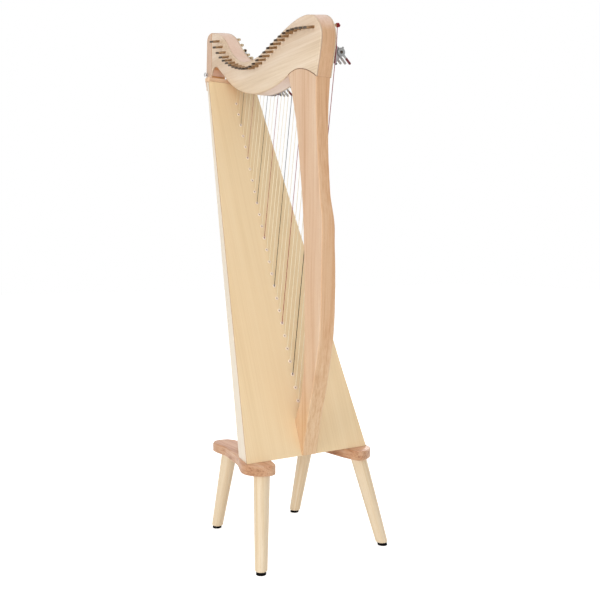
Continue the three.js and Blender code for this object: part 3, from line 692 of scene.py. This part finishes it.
def make(name, parts, material, nodes=(), body="root", sharp=35.0):
    """One finished piece from its parts, riding its body and standing for its solids."""
    points, faces = [], []
    for part_points, part_faces in parts:
        start = len(points)
        points += part_points
        faces += [tuple(start + i for i in face) for face in part_faces]
    mesh = bpy.data.meshes.new(name)
    mesh.from_pydata([tuple(point) for point in points], [], faces)
    shape = bmesh.new()
    shape.from_mesh(mesh)
    bmesh.ops.remove_doubles(shape, verts=shape.verts, dist=weld / 20)
    bmesh.ops.recalc_face_normals(shape, faces=shape.faces)
    shape.to_mesh(mesh)
    shape.free()
    mesh.shade_smooth()
    mesh.set_sharp_from_angle(angle=math.radians(sharp))
    mesh.materials.append(material)
    piece = linked(name, mesh)
    piece.modifiers.new("even_faces", "WEIGHTED_NORMAL").keep_sharp = True
    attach(piece, body)
    if nodes:
        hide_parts(*nodes)
    return piece


# Places worked out from the frame
def wall_normal(node, outward):
    """The direction of a flat wall's largest face on the outward side."""
    faces = [face for face in frame["nodes"][node].data.polygons if face.normal.dot(outward) > 0.3]
    return max(faces, key=lambda face: face.area).normal.normalized()


off_board = wall_normal("soundboard", ahead)
up_board = Vector((0, off_board.z, -off_board.y))


class StringPlace:
    """One string: its foot on the soundboard, its nut and pin, and the lever beside it."""

    def __init__(self, joint, hole, pin):
        self.body = joint["child"]
        self.number = int(self.body.split("_")[1])
        self.hub = Vector(joint["pos_m"])
        axis = Vector(joint["axis"])
        self.rise = Vector((0, axis.z, -axis.y)).normalized()
        self.size = (self.hub.x - neck_half) / hub_standoff
        share = (string_count - self.number) / (string_count - 1)
        self.radius = bass_radius + (treble_radius - bass_radius) * share
        self.pin = pin
        self.foot = hole + off_board * self.radius
        self.nut = self.hub + self.rise * nut_rise * self.size
        self.nut.x = neck_half + string_standoff * self.size

    def on_pin(self, x):
        return Vector((x, self.pin.y, self.pin.z + (x - self.pin.x) * math.tan(pin_tilt)))

    def by_note(self, red, dark, other):
        """The choice for this string: every seventh is red, and every seventh dark."""
        return {0: red, 3: dark}.get((string_count - self.number) % 7, other)

    def lever_frame(self):
        """Local X out from the neck, Y along the pivot, Z up the string."""
        turn = Matrix((across, self.rise.cross(across), self.rise)).transposed().to_4x4()
        return Matrix.Translation(self.hub) @ turn


def string_places():
    holes = sorted(map(middle, face_loops("soundboard", off_board, 1)[0][1:]), key=lambda p: p.z)
    pins = sorted(map(middle, face_loops("neck_core", across, -1)[0][1:]), key=lambda p: p.y)
    joints = sorted(frame["joints"], key=lambda joint: -int(joint["child"].split("_")[1]))
    return [StringPlace(*both) for both in zip(joints, holes, pins)]


strings = string_places()

# Materials
board_edges = [(across, (196, 168, 140)), (-across, (196, 168, 140))]
soundboard_wood = wood("soundboard_wood", spruce_tones, up_board, off_board, spruce_look, 0, board_edges)
stave_wood = wood("stave_wood", stave_tones, up_board, across, spruce_look, 20)
back_wood = wood("back_wood", spruce_tones, up, -ahead, spruce_look, 40)
pillar_grain = Vector((0, -0.16, 1))
# Painted light and shade on the pillar: its -Y faces are tinted lighter low down and darker, warmer higher
# up; its -X faces a little darker, warmer low down.
pillar_painted_light = [
    (ahead, (253, 244, 231), (262, 264, 255), 0.34, 0.58),
    (-across, (247, 248, 249), (247, 244, 232), 0.32, 0.42),
]
pillar_beech = wood("pillar_beech", beech_tones, pillar_grain, ahead, pillar_look, 60, pillar_painted_light)
# Painted shade: the post's -Y faces are tinted darker and more orange.
post_beech = wood("post_beech", post_tones, up, ahead, beech_look, 80, [(ahead, (255, 225, 175))])
# Painted light and shade on the neck: its underside is tinted lighter and cooler low down and darker, warmer
# higher up; the front's -Y faces are tinted darker low down.
neck_painted_light = [(-up, (246, 222, 182), (250, 262, 272), 1.165, 1.205)]
neck_front_painted_light = [*neck_painted_light, (ahead, (255, 255, 255), (238, 223, 196), 1.246, 1.274)]
neck_front_beech = wood("neck_front_beech", neck_tones, up, ahead, pillar_look, 90, neck_front_painted_light)
neck_beech = wood("neck_beech", neck_tones, ahead, up, beech_look, 100, neck_painted_light)
# Painted light: the cap's -X faces get a faint warm tint.
cap_beech = wood("cap_beech", beech_tones, across, up, beech_look, 120, [(-across, (255, 255, 250))])
# Painted shade: the stand boards' side faces are tinted darker than their tops.
stand_painted_shade = [(direction, (239, 238, 229)) for direction in (ahead, -ahead, across, -across)]
stand_beech = wood("stand_beech", stand_tones, ahead, up, stand_look, 140, stand_painted_shade)
# Painted shade: the cheeks' -X faces are tinted a little darker high up.
cheek_painted_shade = [(-across, (247, 243, 243), (255, 255, 255), 1.19, 1.27)]
cheek_maple = wood("cheek_maple", maple_tones, ahead, across, maple_look, 160, cheek_painted_shade)
inner_wood = wood("inner_wood", inner_tones, across, up, beech_look, 180)
foot_rubber = rubber("foot_rubber")
pin_bronze = metal("pin_bronze", (124, 96, 70), (190, 158, 124), 0.38)
lever_gray = metal("lever_gray", (126, 126, 127), (174, 174, 172), 0.4)
bracket_gray = metal("bracket_gray", (138, 130, 132), (182, 174, 174), 0.42)
screw_steel = metal("screw_steel", (150, 150, 152), (205, 205, 206), 0.28)
dark_steel = metal("dark_steel", (46, 38, 32), (88, 76, 66), 0.4)
key_steel = metal("key_steel", (66, 58, 52), (122, 112, 102), 0.34)
# Painted shade: the dark line along the seam between pillar and neck.
seam_shade_brown = plastic("seam_shade_brown", (116, 78, 54), (142, 100, 72), 0.6)
sleeve_gray = plastic("sleeve_gray", (158, 156, 155), (182, 180, 178), 0.42)
sleeve_red = plastic("sleeve_red", (84, 6, 20), (118, 14, 32), 0.38)
sleeve_dark = plastic("sleeve_dark", (78, 78, 80), (98, 98, 100), 0.4)
eyelet_white = plastic("eyelet_white", (240, 218, 198), (250, 234, 218), 0.5)
# Painted shade: the dark discs in the string holes.
hole_shade_dark = plastic("hole_shade_dark", (92, 44, 30), (118, 62, 46), 0.8, 0.1)
string_clear = plastic("string_clear", (226, 212, 178), (240, 230, 202), 0.35)
string_red = plastic("string_red", (128, 20, 26), (160, 36, 40), 0.4, 0.2)
string_dark = plastic("string_dark", (14, 8, 2), (26, 17, 7), 0.6, 0.1)


# Soundbox
def make_box():
    soundboard = board("soundboard", off_board, crisp_edge)
    make("soundboard_face", [soundboard], soundboard_wood, ["soundboard"])
    for name in ("side_stave_right", "side_stave_left", "bevel_stave_right", "bevel_stave_left"):
        outward = across if name.endswith("left") else -across
        stave = board(name, wall_normal(name, outward), crisp_edge)
        make(f"{name}_board", [stave], stave_wood, [name])
    back = board("back_panel", wall_normal("back_panel", -ahead), crisp_edge)
    make("back_board", [back], back_wood, ["back_panel"])
    for name in ("bottom_board", "top_block", "back_brace_1", "back_brace_2", "back_brace_3"):
        make(f"{name}_wood", [softened(name, crisp_edge)], inner_wood, [name])
    make("cap_board", [board("top_cap", up, cap_edge)], cap_beech, ["top_cap"])
    post = leaning_slab("shoulder_post", -neck_half, neck_half, soft_edge)
    make("post_block", [post], post_beech, ["shoulder_post"])


def make_strap_button():
    """A turned stem that widens to a domed head. Its heights are shares of its length."""
    low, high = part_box("strap_button")
    length = high.x - low.x
    radius = (high.z - low.z) / 2
    stem = radius * 0.54
    head = length * 0.67
    profile = [
        (axis_radius, 0), (stem * 1.25, 0), (stem * 1.25, length * 0.05), (stem, length * 0.14),
        (stem, head * 0.86), (radius * 0.8, head),
        *dome(radius, head + length * 0.06, length * 0.27, (0, 20, 40, 58, 74), 0.8),
        (radius * 0.3, length), (axis_radius, length),
    ]
    foot = Vector((high.x, (low.y + high.y) / 2, (low.z + high.z) / 2))
    turned = lathe(profile, button_sides, placed(foot, -across))
    make("strap_button_turned", [turned], screw_steel, ["strap_button"])


# Neck: core, cheeks, pins
def flat_x(point):
    return Vector((point.y, point.z))


def leaning_slab(node, low, high, edge, cut_loop=None):
    """A layer across X along a solid's whole outline, or along a loop of it that a relief bites into.
    Each point of the outline rises evenly from the solid's -X face to its +X face."""
    near_loops, near_x = face_loops(node, across, -1)
    far_loops, far_x = face_loops(node, across, 1)
    outline, partners = ([flat_x(point) for point in loops[0]] for loops in (near_loops, far_loops))
    rises = []
    for point in outline:
        partner = min(
            partners, key=lambda other: (round(abs(other.x - point.x) / weld), (other - point).length)
        )
        rises.append((partner.y - point.y) / (far_x - near_x))
    whole, top = (
        [point + Vector((0, rise * (x - near_x))) for point, rise in zip(outline, rises)]
        for x in (low, high)
    )
    bottom = whole
    if cut_loop is not None:
        bottom, top = [flat_x(point) for point in cut_loop], []
        for point in bottom:
            near = min(range(len(whole)), key=lambda i: (whole[i] - point).length)
            rise = rises[near] if (whole[near] - point).length < outline_reach else 0
            top.append(point + Vector((0, rise * (high - low))))
    return slab([(bottom, top)], low, high, edge, sideways)


def make_neck():
    core_low, core_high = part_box("neck_core")
    core = leaning_slab("neck_cheek_right", core_low.x, core_high.x, crisp_edge)
    piece = make("neck_core_wood", [core], neck_beech, ["neck_core"])
    piece.data.materials.append(neck_front_beech)
    front_end = core_low.y + neck_front_depth
    for face in piece.data.polygons:
        face.material_index = int(face.normal.dot(ahead) > neck_front_lean and face.center.y < front_end)
    relief = face_loops("neck_core", across, 1)[0][0]
    for side, *layer in (
        ("right", -neck_half, core_low.x - seat_gap, cheek_edge),
        ("left", core_high.x + seat_gap, neck_half, cheek_edge, relief),
    ):
        cheek = leaning_slab("neck_cheek_right", *layer)
        make(f"neck_cheek_{side}_wood", [cheek], cheek_maple, [f"neck_cheek_{side}"])


def squared_ring(centre, half, rounding):
    """A ring round a tuning pin between a circle and a square: rounding 1 is round, 0 is square."""
    other = pin_axis.cross(-ahead)
    ring = []
    for a in angles(head_sides):
        c, s = math.cos(a), math.sin(a)
        square = half / max(abs(c), abs(s))
        reach = square + (half - square) * rounding
        ring.append(centre - ahead * c * reach + other * s * reach)
    return ring


def make_pins():
    shafts, keys = [], []
    for place in strings:
        start = place.on_pin(-neck_half - pin_key_side)
        neck_in = (place.on_pin(-neck_half + pin_seat) - start).length
        length = (place.on_pin(neck_half + pin_string_side) - start).length
        stations = ((0, 0.86, 0.25), (key_chamfer, 1, 0.12), (key_length, 1.12, 0.12))
        keys.append(loft([
            squared_ring(start + pin_axis * along, key_half * share, rounding)
            for along, share, rounding in stations
        ]))
        shoulder = key_length + key_gap
        shafts.append(lathe([
            (pin_radius * 0.8, shoulder), (pin_radius, shoulder + pin_shoulder), (pin_radius, neck_in),
            (pin_radius, length - pin_chamfer), (pin_radius - pin_chamfer, length),
        ], rod_sides, placed(start, pin_axis)))
    make("tuning_pin_shafts", shafts, pin_bronze)
    make("tuning_pin_keys", keys, key_steel)


# Strings with their windings, and the eyelets that they rise from
def winding(place):
    """The string's way round its pin, from the side it comes up on."""
    over = ahead.cross(pin_axis)
    reach = pin_radius + place.radius
    pitch = winding_pitch_share * place.radius
    start = place.on_pin(place.nut.x)
    turns = [math.tau * k / winding_points for k in range(winding_points * winding_turns + 1)]
    return [
        start + pin_axis * pitch * a / math.tau + (ahead * math.cos(a) + over * math.sin(a)) * reach
        for a in turns
    ]


def make_strings():
    kinds = {"strings_red": [], "strings_dark": [], "strings_clear": []}
    for place in strings:
        run = [place.foot - off_board * string_end_depth, place.foot, place.nut, *winding(place)]
        kinds[place.by_note(*kinds)].append(tube(run, place.radius))
    finishes = ((string_red, ["string_rib"]), (string_dark, []), (string_clear, []))
    for (name, parts), (material, nodes) in zip(kinds.items(), finishes):
        make(name, parts, material, nodes)


def make_string_rib():
    """The rib behind the board, which the strings are knotted under."""
    start = strings[0].foot - up_board * rib_overhang
    length = (strings[-1].foot + up_board * rib_overhang - start).length
    half = rib_half_width
    corners = [(-half, 0), (half, 0), (half, length), (-half, length)]
    high = -board_thickness - seat_gap
    place = placed(start - off_board * strings[0].radius, off_board)
    rib = prism([corners], high - rib_depth, high, crisp_edge, place)
    make("string_rib_wood", [rib], inner_wood, ["string_rib"])


def make_eyelets():
    eyelets, mouths = [], []
    wall = eyelet_bore + eyelet_wall
    well = [(eyelet_bore, -eyelet_depth), (wall, -eyelet_depth), (wall, -mouth_start)]
    # Each mouth is a dark disc that paints the shade inside the string hole.
    mouth = [
        (axis_radius, mouth_start), (eyelet_bore, mouth_start), (eyelet_bore, mouth_height),
        (axis_radius, mouth_height),
    ]
    for place in strings:
        growth = (1 - eyelet_treble_share) * place.number / string_count
        outer = eyelet_radius * (eyelet_treble_share + growth)
        centre = (outer + eyelet_bore) / 2
        half = (outer - eyelet_bore) / 2
        profile = [(centre + half * c, eyelet_height * s) for c, s in arc((0, 0), 1, 0, math.pi, 8)]
        foot = placed(place.foot - off_board * place.radius, off_board)
        eyelets.append(lathe(profile + well, eyelet_sides, foot, joined=True))
        mouths.append(lathe(mouth, rod_sides, foot))
    make("string_eyelets", eyelets, eyelet_white)
    make("string_hole_shade_discs", mouths, hole_shade_dark)


# Levers: the fixed bracket of each, and the lever that turns on it
def screw_head(place, radius, height):
    """A domed screw head."""
    return lathe([
        (radius * 0.98, 0), (radius, height * 0.35),
        *dome(radius, height * 0.35, height * 0.65, (20, 40, 60, 78)), (axis_radius, height),
    ], head_sides, place)


def bracket_parts(place):
    """A lever's plate and web, its nut pin, its plate's two screws, and its pivot screw."""
    s = place.size
    matrix = place.lever_frame()
    face = -hub_standoff * s
    corner = plate_corner * s
    outline = []
    sides = ((1, plate_top), (-1, plate_top), (-1, -plate_bottom), (1, -plate_bottom))
    for turn, (x, y) in enumerate(sides):
        centre = (x * (plate_half_width * s - corner), y * s - math.copysign(corner, y))
        outline += arc(centre, corner, turn * math.pi / 2, (turn + 1) * math.pi / 2, 6)
    plate = prism([outline], face, face + plate_thickness * s, plate_edge, matrix @ sideways)

    web_start = lever_thickness / 2 * s + lever_side_gap
    web = [
        (face + web_seat, -web_foot * s), (face + web_foot_reach * s, -web_foot * s),
        *arc((0, 0), web_radius * s, -math.pi / 4, math.pi / 2, 14),
        (face + (nut_reach - web_nut_inset) * s, nut_rise * s), (face + web_seat, nut_rise * s),
    ]
    upright = prism([web], web_start, web_start + web_thickness * s, crisp_edge, matrix @ edgeways)

    nut_foot = matrix @ Vector((face, place.radius + seat_gap + nut_radius * s, nut_rise * s))
    nut_profile = rounded_profile(nut_radius * s, nut_reach * s, crisp_edge)
    nut = lathe(nut_profile, rod_sides, placed(nut_foot, across))
    screws = []
    for height in (plate_top - plate_screw_inset, plate_screw_inset - plate_bottom):
        origin = matrix @ Vector((face + plate_thickness * s, 0, height * s))
        screws.append(screw_head(placed(origin, across), plate_screw_radius * s, plate_screw_height * s))

    axis = matrix.to_3x3() @ ahead
    shaft_start = matrix @ Vector((0, web_start + pivot_seat, 0))
    shaft = rounded_profile(pivot_radius * s, 2 * web_start + pivot_overrun, pivot_edge)
    head = placed(matrix @ Vector((0, -web_start, 0)), axis)
    pivot = [
        lathe(shaft, rod_sides, placed(shaft_start, axis)),
        screw_head(head, pivot_head_radius * s, pivot_head_height * s),
    ]
    return [plate, upright], [nut], screws, pivot


def make_brackets():
    plates, nuts, screws, pivots = (sum(kind, []) for kind in zip(*map(bracket_parts, strings)))
    make("lever_brackets", plates, bracket_gray)
    make("nut_pins", nuts, screw_steel)
    make("bracket_screws", screws, screw_steel)
    make("pivot_screws", pivots, dark_steel)


def make_lever(place):
    s = place.size
    matrix = place.lever_frame()
    nut_run = (place.nut - place.foot).dot(place.rise)
    string_x = place.nut.x * (1 - nut_rise * s / nut_run)
    nose_reach = place.hub.x - string_x - place.radius - nose_gap
    nose = math.pi - lever_travel
    tip = nose_half * s
    arm_angle, nose_angle = (math.asin(half / hub_radius) for half in (arm_half, nose_half))

    def at(angle, along, aside):
        return Matrix.Rotation(angle, 2) @ Vector((along, aside))

    reach = handle_reach * s
    nose_points = ((1, -1), (0.3, -0.75), (0, 0), (0.3, 0.75), (1, 1))
    outline = [
        *arc((0, 0), hub_radius * s, handle_rest + arm_angle, nose - nose_angle, 12),
        *(at(nose, nose_reach - tip * back, tip * aside) for back, aside in nose_points),
        *arc((0, 0), hub_radius * s, nose + nose_angle, math.tau + handle_rest - arm_angle, 26),
        *(at(handle_rest, reach, aside * arm_end_half * s) for aside in (-1, 1)),
    ]
    bore = arc((0, 0), pivot_radius * s + pivot_gap, 0, math.tau, 28)[:-1]
    half = lever_thickness / 2 * s
    blade = prism([outline, bore], -half, half, lever_edge, matrix @ edgeways)

    direction = matrix.to_3x3() @ Vector((math.cos(handle_rest), 0, math.sin(handle_rest)))
    radius = handle_radius * s
    start = handle_start * s
    profile = [
        (radius * 0.55, start), (radius * 0.86, start + sleeve_rim), (radius, start + sleeve_lip),
        (radius * 0.97, (start + reach + radius) / 2), *dome(radius, reach, radius, (0, 18, 36, 54, 72)),
        (axis_radius, reach + radius),
    ]
    sleeve = lathe(profile, head_sides, placed(place.hub, direction))
    finish = place.by_note(sleeve_red, sleeve_dark, sleeve_gray)
    name = f"lever_{place.number:02d}"
    make(f"{name}_blade", [blade], lever_gray, [name], place.body)
    make(f"{name}_sleeve", [sleeve], finish, [name], place.body)


# Pillar: its section read at many heights, then drawn finely up to the arch
def pillar_rows(start, end, count):
    """Height, front, back and left side of the pillar's section at even steps of height."""
    rows = []
    for z in (start + (end - start) * i / count for i in range(count + 1)):
        mesh = solid("pillar")
        points = [vertex.co for vertex in sliced(mesh, Vector((0, 0, z)), up, bmesh.types.BMVert)]
        depths = [point.y for point in points]
        rows.append((z, min(depths), max(depths), max(point.x for point in points)))
        mesh.free()
    return rows


def along_rows(rows, z):
    """Rows of numbers that start with a height, read at a height and carried on past both ends."""
    index = next((i for i in range(1, len(rows)) if rows[i][0] >= z), len(rows) - 1)
    low, high = rows[index - 1], rows[index]
    share = (z - low[0]) / (high[0] - low[0])
    return [a + (b - a) * share for a, b in zip(low, high)]


def arch_height(loop, y):
    """Height of the neck's underside over a place."""
    return min(
        a.y + (b.y - a.y) * (y - a.x) / (b.x - a.x) for a, b in sides_of(loop)
        if min(a.x, b.x) - weld <= y <= max(a.x, b.x) + weld and a.x != b.x
    )


def make_pillar():
    low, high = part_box("pillar")
    joint = high.z - pillar_joint_depth
    foot = low.z + pillar_foot_rise
    below = pillar_rows(low.z + pillar_foot_margin, foot - pillar_foot_margin, pillar_rows_below)
    rows = pillar_rows(foot, joint, pillar_rows_above)
    eased = [
        tuple((a + 2 * b + c) / 4 for a, b, c in zip(*trio)) for trio in zip(rows, rows[1:], rows[2:])
    ]
    rows = [rows[0], *eased, rows[-1]]
    underside = refined([[flat_x(point) for point in face_loops("neck_core", across, -1)[0][0]]])[0]
    corner = rim(1, pillar_corner_steps)
    side_shares = [k / pillar_side_steps for k in range(1, pillar_side_steps)]

    def ring_at(z):
        _, front, back, left = along_rows(rows, z)
        if z < foot:
            front = along_rows(below, z)[1]
        radius = min(pillar_rounding, (back - front) / 3)
        straight = back - front - 2 * radius
        half_ring = [
            *((depth, front + radius * rise) for depth, rise in corner),
            *((0, front + radius + straight * share) for share in side_shares),
            *((depth, back - radius * rise) for depth, rise in reversed(corner)),
        ]
        right_side = [Vector((low.x + depth * radius, y, z)) for depth, y in half_ring]
        return right_side + [Vector((left - depth * radius, y, z)) for depth, y in reversed(half_ring)]

    half_count = len(ring_at(joint)) // 2
    tops = []
    for i in range(half_count):
        top = joint
        for _ in range(arch_rounds):
            top = arch_height(underside, ring_at(top)[i].y) - seat_gap
        tops.append(top)
    floor = low.z - pillar_overrun

    def ring_over(share):
        """The ring whose points lie at a share of the way from the overrun up to the arch."""
        rings = [ring_at(floor + (top - floor) * share) for top in tops]
        left_side = [ring[-1 - i] for i, ring in enumerate(rings)]
        return [ring[i] for i, ring in enumerate(rings)] + left_side[::-1]

    # A dark tube along the seam between pillar and neck paints the shade in it.
    line = [point + up * seat_gap / 2 for point in ring_over(1)]
    lines = [tube(side, seam_shade_radius) for side in (line[:half_count], line[half_count:])]
    make("pillar_seam_shade_line", lines, seam_shade_brown)

    points, faces = loft([ring_over(level / pillar_levels) for level in range(pillar_levels + 1)])
    last = faces.pop()
    faces += [(last[i], last[i + 1], last[-2 - i], last[-1 - i]) for i in range(half_count - 1)]
    shaft = bmesh.new()
    vertices = [shaft.verts.new(point) for point in points]
    for face in faces:
        shaft.faces.new([vertices[i] for i in face])
    board_point = strings[0].foot - off_board * (strings[0].radius - seat_gap)
    for point, normal in ((board_point, off_board), (low, up)):
        edges = sliced(shaft, point, normal, bmesh.types.BMEdge, clear=True)
        bmesh.ops.contextual_create(shaft, geom=edges)
    make("pillar_shaft", [taken(shaft)], pillar_beech, ["pillar"], sharp=40.0)


# Stand
def leg_line(name):
    """A point on a leg's axis at its foot, and the axis, read from the foot's tilted top face."""
    faces = [face for face in frame["nodes"][f"{name}_foot"].data.polygons if 0.5 < face.normal.z < 0.9999]
    axis = max(faces, key=lambda face: face.area).normal.normalized()
    flat = [face for face in faces if face.normal.dot(axis) > 0.99999]
    centre = sum((face.center * face.area for face in flat), Vector()) / sum(face.area for face in flat)
    return centre, axis


def leaned(profile, sides, top, axis, end):
    """A turned part about a leaning axis, with its rings slid along it until they lie level and its last
    ring at the height end."""
    points, faces = lathe(profile, sides, placed(top, axis))
    for number, point in enumerate(points):
        along = (point - top).dot(axis)
        level = end if number >= len(points) - sides else top.z + along * axis.z
        point += axis * ((level - point.z) / axis.z)
    return points, faces


def make_leg(name):
    top, axis = leg_line(name)
    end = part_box("stand_board_right")[0].z - seat_gap
    length = (end - top.z) / axis.z
    taper_start = seat_gap + leg_rounding
    profile = [(axis_radius, seat_gap)]
    profile += [(leg_end_radius - depth, seat_gap + rise) for depth, rise in rim(leg_rounding, 5)]
    profile += [
        (leg_end_radius + (leg_top_radius - leg_end_radius) * share,
         taper_start + (length - taper_start) * share)
        for share in (0.2, 0.4, 0.6, 0.8)
    ]
    profile.append((leg_top_radius, length))
    seed = 200 + 13 * len(name)
    leg_wood = wood(f"{name}_leg_wood", ash_tones, axis, axis.cross(up), ash_look, seed)
    leg = leaned(profile, leg_sides, top, axis, end)
    make(f"{name}_leg_turned", [leg], leg_wood, [f"{name}_leg"])
    puck = [(axis_radius, 0)]
    puck += [(foot_radius - depth, -rise) for depth, rise in rim(foot_rounding, 4)]
    foot = leaned([*puck, (foot_radius, -top.z)], foot_sides, top, axis, 0)
    make(f"{name}_foot_puck", [foot], foot_rubber, [f"{name}_foot"])


def make_stand():
    for name in ("front_right", "back_right", "front_left", "back_left"):
        make_leg(name)
    for side in ("right", "left"):
        node = f"stand_board_{side}"
        low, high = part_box(node)
        outer = [point.to_2d() for point in face_loops(node, up, 1)[0][0]]
        if area(outer) < 0:
            outer.reverse()
        part = prism([inset(outer, -stand_chamfer)], low.z, high.z, stand_edge, Matrix.Identity(4))
        make(f"{node}_wood", [part], stand_beech, [node])
        for screw in (f"stand_screw_{side}_1", f"stand_screw_{side}_2"):
            turned = softened(screw, stand_screw_edge)
            make(f"{screw}_turned", [turned], screw_steel, [screw])


# Floor, light and camera
def by_sight(tree, hidden, seen):
    """The seen shader for rays that show a surface, straight, mirrored or through glass, else the hidden."""
    rays = add(tree, "ShaderNodeLightPath").outputs
    sight = maths(tree, "MAXIMUM", rays["Is Camera Ray"], rays["Is Glossy Ray"])
    sight = maths(tree, "MAXIMUM", sight, rays["Is Transmission Ray"])
    return add(tree, "ShaderNodeMixShader", {0: sight, 1: hidden.outputs[0], 2: seen.outputs[0]}).outputs[0]


def cleared(holder):
    """The empty node tree of a material or a world."""
    holder.use_nodes = True
    holder.node_tree.nodes.clear()
    return holder.node_tree


def make_stage():
    mesh = bpy.data.meshes.new("floor")
    corners = [(x * floor_half, y * floor_half, 0) for x, y in ((-1, -1), (1, -1), (1, 1), (-1, 1))]
    mesh.from_pydata(corners, [], [(0, 1, 2, 3)])
    material = bpy.data.materials.new("floor_white")
    tree = cleared(material)
    glow = add(tree, "ShaderNodeEmission", {"Color": (1, 1, 1, 1), "Strength": 0.62})
    paint = add(tree, "ShaderNodeBsdfDiffuse", {"Color": (0.85, 0.85, 0.85, 1)})
    both = add(tree, "ShaderNodeAddShader", {0: glow.outputs[0], 1: paint.outputs[0]})
    add(tree, "ShaderNodeOutputMaterial", {0: by_sight(tree, paint, both)})
    mesh.materials.append(material)
    linked("floor", mesh)


def make_world():
    world = bpy.data.worlds.new("studio")
    bpy.context.scene.world = world
    tree = cleared(world)
    ambient, white = (add(tree, "ShaderNodeBackground", {0: (1, 1, 1, 1), 1: level}) for level in (0.6, 1.0))
    add(tree, "ShaderNodeOutputWorld", {0: by_sight(tree, ambient, white)})


def make_lamps():
    for name, place, target, size, power in lamps:
        data = bpy.data.lights.new(name, "AREA")
        data.shape = "DISK"
        data.size = size
        data.energy = power
        light = linked(name, data)
        light.location = place
        light.rotation_euler = (Vector(target) - Vector(place)).to_track_quat("-Z", "Y").to_euler()


def make_camera():
    data = bpy.data.cameras.new("camera")
    data.lens = camera_lens
    camera = linked("camera", data)
    camera.location = camera_place + Vector((0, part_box("soundboard")[0].y - camera_origin_ahead, 0))
    camera.rotation_euler = (math.pi / 2 - camera_dip, 0, camera_heading)
    bpy.context.scene.camera = camera


make_box()
make_strap_button()
make_neck()
make_pins()
make_strings()
make_string_rib()
make_eyelets()
make_brackets()
for place in strings:
    make_lever(place)
make_pillar()
make_stand()
make_stage()
make_world()
make_lamps()
make_camera()
bpy.context.scene.view_settings.view_transform = "Standard"
